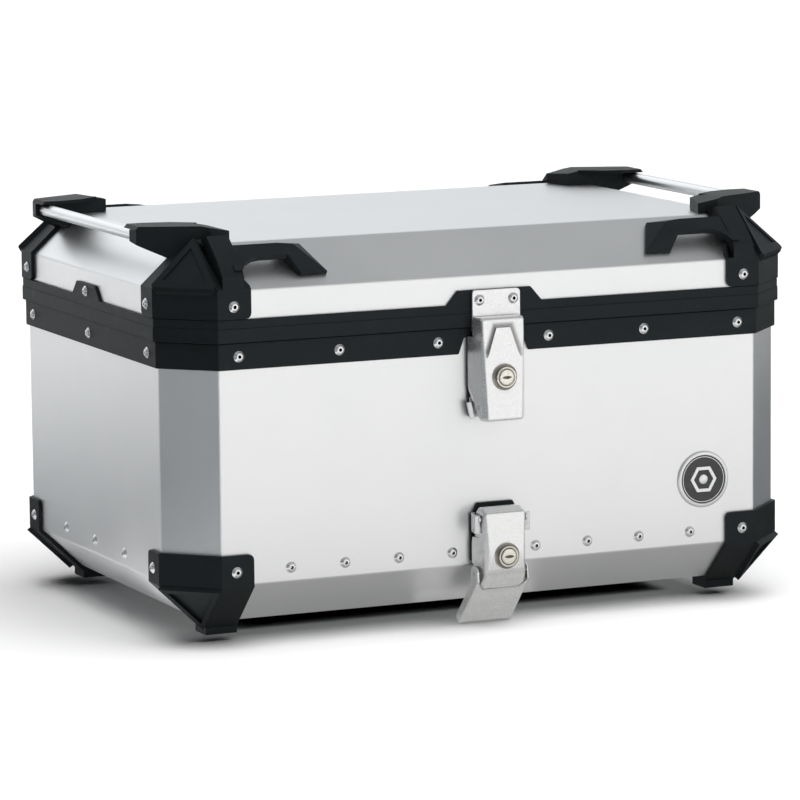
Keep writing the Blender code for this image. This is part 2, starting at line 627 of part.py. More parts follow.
# ---- hinges ---------------------------------------------------------------------------------------
def make_hinges():
    """Two piano-type hinges: three knuckles on the case's leaf and two on the lid's."""
    length = 2 * HINGE_HALF / 5
    case_plate = [(0.1954, 0.2030), (0.1976, 0.2030), (0.1976, 0.2298), (0.1954, 0.2298)]
    case_neck = [(0.1955, 0.2250), (0.1975, 0.2250), (0.2005, 0.2290)]
    case_neck += arc((HINGE_Y, HINGE_Z), KNUCKLE, -118, 215, 14) + [(0.1955, 0.2297)]
    lid_plate = [(0.1978, 0.2390), (0.1998, 0.2390), (0.1998, 0.2530), (0.1978, 0.2530)]
    lid_neck = [(0.1979, 0.2440), (0.1979, 0.2375)]
    lid_neck += arc((HINGE_Y, HINGE_Z), KNUCKLE, 165, 450, 14) + [(0.1997, 0.2425), (0.1997, 0.2440)]
    bore_radius = HINGE_PIN + PIN_CLEARANCE
    for side, middle in (("left", -HINGE_X), ("right", HINGE_X)):
        leaves = {"case": (case_plate, case_neck, (0, 2, 4)), "lid": (lid_plate, lid_neck, (1, 3))}
        for owner, (plate, neck, knuckles) in leaves.items():
            start = middle - HINGE_HALF
            leaf = outline_solid(f"hinge_leaf_{owner}_{side}", plate, start, start + 2 * HINGE_HALF,
                                 AXES["yz"])
            for index in knuckles:
                low = start + index * length + 0.0002
                join(leaf, outline_solid("knuckle", neck, low, low + length - 0.0004, AXES["yz"]))
            cut(leaf, cylinder("bore", (start - 0.01, HINGE_Y, HINGE_Z),
                               (start + 0.08, HINGE_Y, HINGE_Z), bore_radius, 16))
            finish(leaf, STEEL)
        pin = cylinder(f"hinge_pin_{side}", (middle - HINGE_HALF, HINGE_Y, HINGE_Z),
                       (middle + HINGE_HALF, HINGE_Y, HINGE_Z), HINGE_PIN, 16)
        finish(pin, STEEL)


# ---- latches --------------------------------------------------------------------------------------
def across(name, point, half_length, radius, sides=14):
    """A bar across the case at (distance out of the front wall, height)."""
    y, z = out(point[0]), point[1]
    return cylinder(name, (-half_length, y, z), (half_length, y, z), radius, sides)


def front_plane(lower, upper, offset):
    """The plane across the width through two (out, height) points, facing the front."""
    run, rise = upper[0] - lower[0], upper[1] - lower[1]
    normal = Vector((0, -rise, -run)).normalized()
    return normal, normal.dot((0, out(lower[0]), lower[1])) + offset


def side_planes(front, back, offset):
    """A mirrored pair of side planes through (half width, out) at the front and at the back."""
    run, depth = back[0] - front[0], front[1] - back[1]
    normal = Vector((depth, -run, 0)).normalized()
    distance = normal.dot((front[0], out(front[1]), 0)) + offset
    return [(normal, distance), (Vector((-normal.x, normal.y, 0)), distance)]


def taper_planes(high, low, offset):
    """A mirrored pair of planes through (half width, height) points."""
    normal = Vector((high[1] - low[1], 0, low[0] - high[0])).normalized()
    if normal.x < 0:
        normal = -normal
    distance = normal.dot((high[0], 0, high[1])) + offset
    return [(normal, distance), (Vector((-normal.x, 0, normal.z)), distance)]


def upper_lever_form(name, offset, back):
    """The lid latch's lever: a tapered block whose front leans out towards its lower end."""
    planes = [front_plane((0.0245, 0.158), (0.0205, 0.2435), offset)]
    planes += side_planes((0.0195, 0.0190), (0.0245, 0.0040), offset)
    planes += side_planes((0.0175, 0.0218), (0.0205, 0.0185), offset)
    planes += taper_planes((0.0250, 0.190), (0.0195, 0.158), offset)
    planes.append(front_plane((0.0230, 0.2400), (0.0180, 0.2435), offset))
    if offset == 0:
        under = Vector((0, 0.0240, -0.0125)).normalized()
        planes.append((under, under.dot((0, out(0.004), 0.182))))
    return clipped_block(name, (-0.03, out(0.03), 0.158 - offset), (0.03, out(back), 0.2435 + offset),
                         planes)


def finger_groove():
    """A shallow A-shaped groove across the upper lever's face."""
    lower, upper = (0.0245, 0.158), (0.0205, 0.2435)
    normal = front_plane(lower, upper, 0)[0]
    up = normal.cross(Vector((1, 0, 0))).normalized()
    frame = Matrix((Vector((1, 0, 0)), up, normal)).transposed().to_4x4()
    frame.translation = (0, out(lower[0]), lower[1])
    band = [(-0.0152, 0.0570), (-0.0118, 0.0570), (-0.0048, 0.0770), (0.0048, 0.0770), (0.0118, 0.0570),
            (0.0152, 0.0570), (0.0068, 0.0802), (-0.0068, 0.0802)]
    return outline_solid("groove", band, -0.0007, 0.003, frame)


def make_upper_latch():
    pad = [(-0.0225, 0.1600), (0.0225, 0.1600), (0.0240, 0.1700), (0.0240, 0.2255), (-0.0240, 0.2255),
           (-0.0240, 0.1700)]
    finish(outline_solid("upper_latch_pad", pad, HALF_DEPTH + GAP, HALF_DEPTH + 0.0030, AXES["xz"]), PLASTIC)

    plate = [(-0.0232, 0.1605), (0.0232, 0.1605), (0.0232, 0.1765), (0.0165, 0.1830), (0.0165, 0.2150),
             (-0.0165, 0.2150), (-0.0165, 0.1830), (-0.0232, 0.1765)]
    bracket = outline_solid("upper_latch_bracket", plate, HALF_DEPTH + 0.0033, HALF_DEPTH + 0.0048,
                            AXES["xz"])
    ear = [(0.0034, 0.1690), (0.0080, 0.1690), (0.0115, 0.1655)]
    ear += arc(UPPER_PIVOT, 0.0036, -60, 100, 6) + [(0.0034, 0.1790)]
    for middle in (-0.0150, 0.0150):
        join(bracket, side_solid("ear", ear, 0.0009, middle))
    cut(bracket, across("bore", UPPER_PIVOT, 0.04, LATCH_PIN + PIN_CLEARANCE))
    finish(bracket, STEEL)
    finish(across("upper_latch_pin", UPPER_PIVOT, 0.0203, LATCH_PIN), STEEL)

    pivot = (0, out(UPPER_PIVOT[0]), UPPER_PIVOT[1])
    lever = upper_lever_form("upper_lever", 0, 0.004)
    hollow = upper_lever_form("hollow", -0.0022, 0.0)
    cut(lever, hollow, finger_groove())
    room = [(0.0, 0.2270), (0.0098, 0.2270), (0.0098, 0.2500), (0.0, 0.2500)]
    cut(lever, side_solid("striker_room", room, 0.0400))
    cut(lever, *lock_room(UPPER_LOCK_Z, UPPER_LOCK_FACE))
    cut(lever, across("bore", UPPER_PIVOT, 0.04, LATCH_PIN + PIN_CLEARANCE),
        across("claw_bore", CLAW_PIVOT, 0.04, LATCH_PIN))
    finish(lever, CAST, pivot)
    make_lock("upper", UPPER_LOCK_Z, UPPER_LOCK_FACE)

    claw_pivot = (0, out(CLAW_PIVOT[0]), CLAW_PIVOT[1])
    nose = arc(CLAW_PIVOT, 0.0040, 200, 330, 4)
    claw_side = [(0.0152, 0.2150), (0.0148, 0.2320), (0.0138, 0.2362), (0.0098, 0.2362), (0.0098, 0.2334),
                 (0.0118, 0.2315), (0.0098, 0.2160)] + nose
    claw = side_solid("claw", claw_side, 0.0120)
    cut(claw, across("bore", CLAW_PIVOT, 0.03, LATCH_PIN - 0.0002 + PIN_CLEARANCE))
    finish(claw, STEEL, claw_pivot)
    finish(across("claw_pin", CLAW_PIVOT, 0.0222, LATCH_PIN - 0.0002), STEEL)


def lock_room(height, face):
    """Cutters for a lock in a lever: the barrel's hole and the flat seat of its flange."""
    hole = cylinder("hole", (0, out(0), height), (0, out(0.05), height), 0.0100, 24)
    seat = cylinder("seat", (0, out(face), height), (0, out(0.05), height), 0.0113, 24)
    return hole, seat


def make_lock(which, height, face):
    """A cylinder lock in a lever: a flanged barrel, and the plug with its cam that a key turns."""
    barrel = [(0.0094, 0.0038), (0.0104, 0.0028), (0.0110, GAP), (0.0097, GAP), (0.0097, -0.0090),
              (0.0068, -0.0090), (0.0068, 0.0030)]
    place = (0, out(face), height)
    finish(turned(f"{which}_lock_barrel", barrel, place, (0, -1, 0), steps=24), NICKEL)
    stem = [(0, 0.0036), (0.0060, 0.0036), (0.0065, 0.0030), (0.0065, -0.0105), (0.0035, -0.0105),
            (0.0035, -0.0135), (0, -0.0135)]
    plug = turned(f"{which}_lock_plug", stem, place, (0, -1, 0), steps=24)
    cam = outline_solid("cam", [(-0.0040, height - 0.0120), (0.0040, height - 0.0120),
                                (0.0040, height + 0.0040), (-0.0040, height + 0.0040)],
                        -out(face - 0.0125), -out(face - 0.0105), AXES["xz"])
    key_way = clipped_block("key_way", (-0.0038, out(face + 0.005), height - 0.0006),
                            (0.0038, out(face - 0.0060), height + 0.0006))
    join(plug, cam)
    cut(plug, key_way)
    finish(plug, NICKEL, (0, out(face), height))


def lower_lever_form(name, offset, back):
    """The release latch's lever: it bulges at the lock and curls in at its lower end."""
    planes = [front_plane((0.0252, 0.046), (0.0225, 0.0815), offset),
              front_plane((0.0235, 0.0300), (0.0252, 0.046), offset),
              front_plane((0.0135, 0.0175), (0.0235, 0.0300), offset),
              front_plane((0.0225, 0.0815), (0.0140, 0.0855), offset)]
    planes += side_planes((0.0188, 0.0200), (0.0226, 0.0050), offset)
    planes += side_planes((0.0168, 0.0235), (0.0196, 0.0195), offset)
    planes += taper_planes((0.0180, 0.0855), (0.0226, 0.0560), offset)
    planes += taper_planes((0.0226, 0.0340), (0.0205, 0.0175), offset)
    planes += taper_planes((0.0214, 0.0240), (0.0158, 0.0175), offset)
    if offset == 0:
        behind = Vector((0, 0.0055, 0.0045)).normalized()
        planes.append((behind, behind.dot((0, out(0.005), 0.0800))))
    return clipped_block(name, (-0.03, out(0.03), 0.0175 - offset), (0.03, out(back), 0.0855 + offset),
                         planes)


def make_lower_latch():
    pad = [(-0.0225, 0.0400), (0.0225, 0.0400), (0.0225, 0.0760), (0.0160, 0.0880), (-0.0160, 0.0880),
           (-0.0225, 0.0760)]
    finish(outline_solid("lower_latch_pad", pad, HALF_DEPTH + GAP, HALF_DEPTH + 0.0030, AXES["xz"]), PLASTIC)

    plate = [(-0.0222, 0.0650), (-0.0150, 0.0580), (-0.0150, 0.0420), (0.0150, 0.0420), (0.0150, 0.0580),
             (0.0222, 0.0650), (0.0222, 0.0805), (0.0194, 0.0805), (0.0194, 0.0690), (-0.0194, 0.0690),
             (-0.0194, 0.0805), (-0.0222, 0.0805)]
    bracket = outline_solid("lower_latch_bracket", plate, HALF_DEPTH + 0.0033, HALF_DEPTH + 0.0046,
                            AXES["xz"])
    ear = [(0.0034, 0.0655), (0.0150, 0.0700)] + arc(LOWER_PIVOT, 0.0038, -50, 110, 6) + [(0.0034, 0.0800)]
    for middle in (-0.0213, 0.0213):
        join(bracket, side_solid("ear", ear, 0.0009, middle))
    cut(bracket, across("bore", LOWER_PIVOT, 0.04, LATCH_PIN + PIN_CLEARANCE))
    finish(bracket, STEEL)
    finish(across("lower_latch_pin", LOWER_PIVOT, 0.0222, LATCH_PIN), STEEL)

    lever = lower_lever_form("lower_lever", 0, 0.005)
    cut(lever, lower_lever_form("hollow", -0.0022, 0.0))
    for sign in (-1, 1):
        bracket_side = sorted((sign * 0.0200, sign * 0.0300))
        hook_side = sorted((sign * 0.0214, sign * 0.0300))
        cut(lever, clipped_block("ear_room", (bracket_side[0], out(0.03), 0.0605),
                                 (bracket_side[1], out(0), 0.0900)),
            clipped_block("hook_room", (hook_side[0], out(0.03), 0.0), (hook_side[1], out(0), 0.0385)))
    cut(lever, *lock_room(LOWER_LOCK_Z, LOWER_LOCK_FACE))
    cut(lever, across("bore", LOWER_PIVOT, 0.04, LATCH_PIN + PIN_CLEARANCE),
        across("hook_bore", HOOK_PIVOT, 0.04, LATCH_PIN))
    finish(lever, CAST, (0, out(LOWER_PIVOT[0]), LOWER_PIVOT[1]))
    make_lock("lower", LOWER_LOCK_Z, LOWER_LOCK_FACE)

    hook_side = arc(HOOK_PIVOT, 0.0062, 20, 200, 8) + [(0.0040, 0.0200), (-0.0250, -0.0105),
                                                       (-0.0190, -0.0170), (0.0180, 0.0240)]
    inside = [(0.0165, 0.0500), (-0.0100, 0.0500), (-0.0300, 0.0100), (-0.0228, -0.0100),
              (-0.0193, -0.0143), (0.0165, 0.0253)]
    mouth = [(-0.0219, 0.0500), (-0.0219, 0.0228), (-0.0168, 0.0166), (0.0168, 0.0166), (0.0219, 0.0228),
             (0.0219, 0.0500)]
    hook = side_solid("release_hook", hook_side, 0.0239)
    cut(hook, side_solid("inside", inside, 0.0219),
        outline_solid("mouth", mouth, HALF_DEPTH + 0.0050, HALF_DEPTH + 0.0300, AXES["xz"]),
        across("bore", HOOK_PIVOT, 0.04, LATCH_PIN - 0.0002 + PIN_CLEARANCE))
    finish(hook, CAST, (0, out(HOOK_PIVOT[0]), HOOK_PIVOT[1]))
    finish(across("hook_pin", HOOK_PIVOT, 0.0237, LATCH_PIN - 0.0002), STEEL)


# ---- assembly -------------------------------------------------------------------------------------
def make_corners():
    lower, lid = make_lower_cap(), make_lid_cap()
    for corner, (x_sign, y_sign) in CORNERS.items():
        finish(mirrored(lower, f"lower_corner_{corner}", x_sign, y_sign), PLASTIC)
        finish(mirrored(lid, f"lid_corner_{corner}", x_sign, y_sign), PLASTIC)
        for level, rivets in (("lower", CAP_RIVETS_LOWER), ("lid", CAP_RIVETS_LID)):
            for face, ((x, y, z), (nx, ny, nz)) in rivets.items():
                rivet(f"rivet_{level}_{corner}_{face}", (x_sign * x, y_sign * y, z),
                      (x_sign * nx, y_sign * ny, nz), CAP_SKIN + SHEET + 0.0015)
    for scratch in (lower, lid):
        bpy.data.objects.remove(scratch, do_unlink=True)


def joint_axis(name, place, prefixes, parent=None):
    """An empty on a joint's axis, with the pieces that turn about it parented to it."""
    axis = bpy.data.objects.new(name, None)
    axis.empty_display_size = 0.02
    case.objects.link(axis)
    axis.location = place
    held = [piece for piece in case.objects if piece.type == "MESH" and piece.name.startswith(prefixes)]
    for piece in held:
        piece.parent = axis
        piece.matrix_parent_inverse = Matrix.Translation(-Vector(place))
    if parent:
        axis.parent = parent
        axis.matrix_parent_inverse = Matrix.Translation(-parent.location)
    return axis


def make_joint_axes():
    joint_axis("lid_hinge_axis", (0, HINGE_Y, HINGE_Z),
               ("lid_", "rail_", "striker_plate", "hinge_leaf_lid", "rivet_lid", "rivet_striker"))
    lever = joint_axis("lid_latch_axis", (0, out(UPPER_PIVOT[0]), UPPER_PIVOT[1]),
                       ("upper_lever", "upper_lock_barrel", "claw_pin"))
    joint_axis("claw_axis", (0, out(CLAW_PIVOT[0]), CLAW_PIVOT[1]), ("claw",), lever)
    joint_axis("lid_lock_axis", (0, out(UPPER_LOCK_FACE), UPPER_LOCK_Z), ("upper_lock_plug",), lever)
    release = joint_axis("release_latch_axis", (0, out(LOWER_PIVOT[0]), LOWER_PIVOT[1]),
                         ("lower_lever", "lower_lock_barrel", "hook_pin"))
    joint_axis("hook_axis", (0, out(HOOK_PIVOT[0]), HOOK_PIVOT[1]), ("release_hook",), release)
    joint_axis("release_lock_axis", (0, out(LOWER_LOCK_FACE), LOWER_LOCK_Z), ("lower_lock_plug",), release)


make_body_shell()
make_body_collar()
make_locating_brackets()
make_badge()
make_lid_shell()
make_lid_collar()
make_lid_gasket()
make_corners()
make_rails()
make_striker()
for rivet_side, (spot, facing) in zip(("left", "right"), STRIKER_RIVETS):
    rivet(f"rivet_striker_{rivet_side}", spot, facing, 0.0095)
make_hinges()
make_upper_latch()
make_lower_latch()
make_joint_axes()
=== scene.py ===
"""The looks of the motorcycle top case: satin aluminium sheet, moulded black corners, cast latches.

Every CAD node is shown as a softened copy of itself, with rounded edges, or as a finer piece in its
place, and all have procedural materials. Metres, +X along the width, the latches face -Y.
"""

import json
import math

import bmesh
import bpy
from mathutils import Matrix, Vector


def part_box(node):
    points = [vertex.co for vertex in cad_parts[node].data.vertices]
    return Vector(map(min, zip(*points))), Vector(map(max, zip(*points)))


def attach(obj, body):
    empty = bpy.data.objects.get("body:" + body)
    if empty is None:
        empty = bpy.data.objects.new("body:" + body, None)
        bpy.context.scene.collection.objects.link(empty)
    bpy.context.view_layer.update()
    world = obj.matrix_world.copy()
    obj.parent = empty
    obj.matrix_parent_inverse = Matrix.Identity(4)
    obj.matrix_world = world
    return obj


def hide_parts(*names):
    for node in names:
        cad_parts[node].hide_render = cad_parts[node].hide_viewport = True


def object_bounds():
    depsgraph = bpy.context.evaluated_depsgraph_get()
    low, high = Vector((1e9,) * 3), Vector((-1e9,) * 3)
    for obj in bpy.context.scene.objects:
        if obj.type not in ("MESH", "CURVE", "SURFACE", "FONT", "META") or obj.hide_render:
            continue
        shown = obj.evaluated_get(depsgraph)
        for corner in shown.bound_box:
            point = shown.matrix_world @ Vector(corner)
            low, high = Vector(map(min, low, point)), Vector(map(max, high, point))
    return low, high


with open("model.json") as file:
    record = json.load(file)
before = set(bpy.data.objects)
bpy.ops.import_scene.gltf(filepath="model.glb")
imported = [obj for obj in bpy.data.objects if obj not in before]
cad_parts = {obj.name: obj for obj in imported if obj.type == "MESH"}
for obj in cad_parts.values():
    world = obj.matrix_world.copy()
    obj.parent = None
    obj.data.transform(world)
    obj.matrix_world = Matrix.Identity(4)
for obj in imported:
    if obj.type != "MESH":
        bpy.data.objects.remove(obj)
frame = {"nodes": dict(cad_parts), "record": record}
cad_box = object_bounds()
scene = bpy.context.scene
NODES = frame["nodes"]
RECORD = frame["record"]
BODY_OF = {node: body for body, nodes in RECORD["behaviour"]["bodies"].items() for node in nodes}
SLOT_OF = {entry["node"]: entry["material_slot"] for entry in RECORD["subparts"]}


def middle_of(node):
    low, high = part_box(node)
    return (low + high) / 2


# ---- dimensions the details are placed by ---------------------------------------------------------
HALF_WIDTH, HALF_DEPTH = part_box("body_shell")[1].xy
BODY_COLLAR_OUT, LID_COLLAR_OUT = 0.0026, 0.0050    # how far the collars stand out of the walls
LEDGE, LEDGE_Z = 0.0005, 0.2462                     # the lid collar's fine ledge
FLOOR = cad_box[0].z - 0.0001                       # just below the release hook's tip

RIVET_HEAD, RIVET_BORE = 0.0046, 0.00125            # radii of the head and of the mandrel's hole
RIVET_RISE = 0.0021                                 # how far a CAD rivet's head stands out
BODY_ROW_Z, LOWER_ROW_Z, TAB_Z = 0.2233, 0.0475, 0.2585
BODY_ROW_X = (0.050, 0.138, 0.226)
BODY_ROW_Y = (0.0, 0.137)
LOWER_ROW_X = (0.038, 0.086, 0.134, 0.182)
LOWER_ROW_Y = (0.0, 0.070)

# points on the latches' front faces: distance out of the front wall, height
UPPER_FACE = ((0.0245, 0.158), (0.0205, 0.2435))
LOWER_FACE = ((0.0135, 0.0175), (0.0235, 0.0300), (0.0252, 0.046), (0.0225, 0.0815))
UPPER_LOCK_OUT, LOWER_LOCK_OUT = 0.0222, 0.0242     # the lock flanges' distance out of the wall

GROOVE_LEG = ((0.0131, 0.0570), (0.0063, 0.0772))   # a leg of the groove: aside, up the lever's face
# the second value is the depth over which the painted shade in the groove grows to full darkness
GROOVE_DEPTH, GROOVE_SHADE_FADE, GROOVE_RUNOUT = 0.00165, 0.0013, 0.0050


# ---- material helpers -----------------------------------------------------------------------------
NEUTRAL = (1.0, 1.0, 1.0)


class Shader:
    """A Principled material whose nodes are added and linked by short calls."""

    def __init__(self, name, **values):
        self.material = bpy.data.materials.new(name)
        self.material.use_nodes = True
        self.tree = self.material.node_tree
        self.principled = self.tree.nodes["Principled BSDF"]
        self.place = self.add("ShaderNodeTexCoord").outputs["Object"]
        for socket, value in values.items():
            self.set(socket.replace("_", " "), value)

    def add(self, kind, **properties):
        node = self.tree.nodes.new(kind)
        for name, value in properties.items():
            setattr(node, name, value)
        return node

    def link(self, value, socket):
        if isinstance(value, bpy.types.NodeSocket):
            self.tree.links.new(value, socket)
        else:
            socket.default_value = value

    def set(self, socket, value):
        self.link(value, self.principled.inputs[socket])

    def stretched(self, scale):
        """Object coordinates scaled differently along each axis."""
        mapping = self.add("ShaderNodeMapping")
        self.link(self.place, mapping.inputs["Vector"])
        mapping.inputs["Scale"].default_value = scale
        return mapping.outputs["Vector"]

    def noise(self, scale, detail=2.0, roughness=0.5, place=None):
        """Fine-grained noise from 0 to 1; scale is in features per metre."""
        node = self.add("ShaderNodeTexNoise")
        self.link(place or self.place, node.inputs["Vector"])
        node.inputs["Scale"].default_value = scale
        node.inputs["Detail"].default_value = detail
        node.inputs["Roughness"].default_value = roughness
        return node.outputs["Fac"]

    def cells(self, scale, feature="F1", place=None):
        """The distance within cells of 1/scale metres."""
        node = self.add("ShaderNodeTexVoronoi", feature=feature)
        self.link(place or self.place, node.inputs["Vector"])
        node.inputs["Scale"].default_value = scale
        return node.outputs["Distance"]

    def spread(self, value, low, high, start=0.0, end=1.0):
        """Maps value from start..end to low..high and holds it at both ends."""
        node = self.add("ShaderNodeMapRange")
        inputs = (value, start, end, low, high)
        for socket, given in zip(node.inputs, inputs):
            self.link(given, socket)
        return node.outputs["Result"]

    def math(self, operation, first, second=0.0):
        node = self.add("ShaderNodeMath", operation=operation)
        self.link(first, node.inputs[0])
        self.link(second, node.inputs[1])
        return node.outputs[0]

    def mix(self, share, first, second):
        node = self.add("ShaderNodeMix", data_type="RGBA")
        self.link(share, node.inputs["Factor"])
        self.link(first, node.inputs["A"])
        self.link(second, node.inputs["B"])
        return node.outputs["Result"]

    def bump(self, height, distance, strength=1.0, under=None):
        node = self.add("ShaderNodeBump")
        node.inputs["Strength"].default_value = strength
        node.inputs["Distance"].default_value = distance
        self.link(height, node.inputs["Height"])
        if under:
            self.link(under, node.inputs["Normal"])
        return node.outputs["Normal"]

    def scratches(self, scale, stretch, width):
        """Sparse hairline scratches: the edges of long thin cells, broken up by a noise."""
        lines = self.cells(scale, "DISTANCE_TO_EDGE", self.stretched(stretch))
        line = self.spread(lines, 1.0, 0.0, 0.0, width)
        where = self.spread(self.noise(scale * 0.9, 1.0), 0.0, 1.0, 0.58, 0.66)
        return self.math("MULTIPLY", line, where)


def grey(level, tint=NEUTRAL):
    return (level * tint[0], level * tint[1], level * tint[2], 1.0)


def sheet_aluminium(name, level, roughness):
    """Satin anodised sheet: a soft cloudiness, fine rolled grain and a few handling scratches."""
    look = Shader(name, Metallic=1.0)
    cloud = look.noise(7.0, 3.0, 0.55)
    grain = look.noise(1.0, 2.0, 0.6, look.stretched((160.0, 160.0, 2600.0)))
    speck = look.noise(2300.0, 2.0, 0.7)
    scratch = look.scratches(34.0, (1.0, 3.0, 0.45), 0.004)
    tone = look.spread(look.math("ADD", cloud, look.math("MULTIPLY", speck, 0.5)), 0.0, 1.0, 0.45, 1.05)
    look.set("Base Color", look.mix(tone, grey(level * 0.95, (0.985, 0.995, 1.0)),
                                    grey(level * 1.03, (0.995, 1.0, 1.0))))
    rough = look.math("ADD", look.spread(speck, roughness - 0.05, roughness + 0.06, 0.3, 0.7),
                      look.spread(cloud, -0.025, 0.025, 0.3, 0.7))
    look.set("Roughness", look.math("SUBTRACT", rough, look.math("MULTIPLY", scratch, 0.10)))
    fine = look.bump(look.math("ADD", grain, speck), 0.00002, 0.55)
    look.set("Normal", look.bump(scratch, 0.00003, -0.5, fine))
    return look.material


def moulded_plastic(name, level, roughness, tint=(0.84, 1.0, 1.08)):
    """Black polyamide with an eroded mould grain, slight flow marks and rubbed high spots."""
    look = Shader(name)
    grain = look.noise(1900.0, 2.0, 0.6)
    pebbles = look.cells(1300.0)
    flow = look.noise(24.0, 4.0, 0.6, look.stretched((0.6, 0.6, 1.6)))
    rubbed = look.spread(look.noise(60.0, 5.0, 0.65), 0.0, 1.0, 0.56, 0.75)
    shade = look.mix(look.spread(flow, 0.0, 1.0, 0.3, 0.7), grey(level * 0.80, tint),
                     grey(level * 1.15, tint))
    look.set("Base Color", look.mix(look.math("MULTIPLY", rubbed, 0.5), shade, grey(level * 1.6, tint)))
    look.set("Roughness", look.math("ADD", look.spread(grain, roughness - 0.07, roughness + 0.09, 0.3, 0.7),
                                    look.math("MULTIPLY", rubbed, -0.06)))
    height = look.math("ADD", grain, look.math("MULTIPLY", pebbles, 0.8))
    look.set("Normal", look.bump(height, 0.00006, 0.6))
    look.set("Specular IOR Level", 0.23)
    look.set("Specular Tint", (*tint, 1.0))
    return look.material


def cast_metal(name, level, roughness, recess=None):
    """Blasted and lacquered die casting: a faint orange-peel skin with soft wear.

    The last argument, if given, is a direction and a height along it: below that height the colour is
    darkened, painted shade in the recess.
    """
    look = Shader(name, Metallic=0.92)
    peel = look.noise(2600.0, 1.0)
    wear = look.spread(look.noise(110.0, 4.0, 0.6), 0.0, 1.0, 0.55, 0.75)
    shade = look.mix(look.spread(peel, 0.0, 1.0, 0.3, 0.7), grey(level * 0.985), grey(level * 1.012))
    colour = look.mix(look.math("MULTIPLY", wear, 0.10), shade, grey(level * 0.93))
    # painted shade: the colour darkens with depth below the given height
    if recess:
        direction, surface = recess
        height = look.add("ShaderNodeVectorMath", operation="DOT_PRODUCT")
        look.link(look.place, height.inputs[0])
        look.link(direction, height.inputs[1])
        painted_shade = look.spread(height.outputs["Value"], 1.0, 0.0, surface - GROOVE_SHADE_FADE, surface)
        colour = look.mix(painted_shade, colour, grey(level * 0.42))
    look.set("Base Color", colour)
    look.set("Roughness", look.math("ADD", look.spread(peel, roughness - 0.02, roughness + 0.02, 0.3, 0.7),
                                    look.math("MULTIPLY", wear, 0.01)))
    look.set("Normal", look.bump(peel, 0.000008, 0.2))
    return look.material


def plated_metal(name, colour, roughness):
    """Bright plating: faint polishing lines and small spots of tarnish."""
    look = Shader(name, Metallic=1.0)
    lines = look.noise(1.0, 2.0, 0.6, look.stretched((3000.0, 500.0, 500.0)))
    tarnish = look.spread(look.noise(260.0, 4.0, 0.6), 0.0, 1.0, 0.52, 0.72)
    dark = tuple(channel * 0.72 for channel in colour)
    look.set("Base Color", look.mix(look.math("MULTIPLY", tarnish, 0.6), (*colour, 1.0), (*dark, 1.0)))
    look.set("Roughness", look.math("ADD", look.spread(lines, roughness - 0.04, roughness + 0.04, 0.3, 0.7),
                                    look.math("MULTIPLY", tarnish, 0.12)))
    look.set("Normal", look.bump(lines, 0.000004, 0.3))
    return look.material


def rubber(name):
    """Soft black seal rubber with a faint grey bloom."""
    look = Shader(name)
    grain = look.noise(1200.0, 3.0, 0.6)
    bloom = look.spread(look.noise(90.0, 3.0, 0.5), 0.0, 1.0, 0.45, 0.7)
    look.set("Base Color", look.mix(bloom, grey(0.010), grey(0.024)))
    look.set("Roughness", look.spread(grain, 0.68, 0.86, 0.3, 0.7))
    look.set("Normal", look.bump(grain, 0.00005, 0.5))
    return look.material


def studio_floor():
    """The pale matt floor, barely mottled."""
    look = Shader("studio_floor", Roughness=0.9, Specular_IOR_Level=0.0)
    mottle = look.noise(3.0, 4.0, 0.6)
    look.set("Base Color", look.mix(mottle, grey(0.84), grey(0.87)))
    look.set("Normal", look.bump(look.noise(400.0, 2.0), 0.0002, 0.1))
    return look.material


LOOKS = {
    "satin_aluminium": sheet_aluminium("satin_aluminium_look", 0.86, 0.40),
    "rail_aluminium": sheet_aluminium("rail_aluminium_look", 0.80, 0.30),
    "rivet_aluminium": plated_metal("rivet_aluminium_look", (0.86, 0.86, 0.87), 0.24),
    "black_plastic": moulded_plastic("black_plastic_look", 0.0062, 0.50),
    "die_cast_zinc": cast_metal("die_cast_zinc_look", 0.80, 0.27),
    "nickel_plate": plated_metal("nickel_plate_look", (0.80, 0.77, 0.70), 0.26),
    "zinc_plated_steel": plated_metal("zinc_plated_steel_look", (0.70, 0.71, 0.72), 0.32),
    "seal_rubber": rubber("seal_rubber_look"),
    "badge_enamel": moulded_plastic("badge_enamel_look", 0.055, 0.30, (1.0, 1.0, 1.02)),
}
SHADOW_HOLE = moulded_plastic("dark_hole_look", 0.004, 0.75)
# a dark nickel that paints shade on the steep sides of the lock collars
PAINTED_SHADE_NICKEL = plated_metal("painted_shade_nickel_look", (0.30, 0.28, 0.24), 0.34)


# ---- mesh helpers ---------------------------------------------------------------------------------
def show(piece, body, slot):
    """Finishes a piece: the material of its record slot and the body it rides on."""
    piece.data.materials.clear()
    piece.data.materials.append(LOOKS[slot])
    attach(piece, body)
    return piece


def show_for(piece, node):
    """Finishes a piece that stands for a CAD node, with that node's body and slot."""
    show(piece, BODY_OF[node], SLOT_OF[node])
    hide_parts(node)
    return piece


def from_bmesh(name, bm):
    """A new object in the scene from a bmesh, which is freed."""
    mesh = bpy.data.meshes.new(name)
    bm.to_mesh(mesh)
    bm.free()
    made = bpy.data.objects.new(name, mesh)
    scene.collection.objects.link(made)
    return made


def clean_copy(node):
    """The node's mesh with its seams welded and its flat faces merged."""
    bm = bmesh.new()
    bm.from_mesh(NODES[node].data)
    bmesh.ops.remove_doubles(bm, verts=bm.verts, dist=1e-5)
    bmesh.ops.dissolve_limit(bm, angle_limit=math.radians(1.0), verts=bm.verts, edges=bm.edges)
    return bm


def free_length(edge):
    """The shortest edge next to this one across its faces, which limits how far it can be rounded."""
    near = [e.calc_length() for vertex in edge.verts for e in vertex.link_edges
            if e is not edge and any(face in edge.link_faces for face in e.link_faces)]
    return min(near, default=0.0)


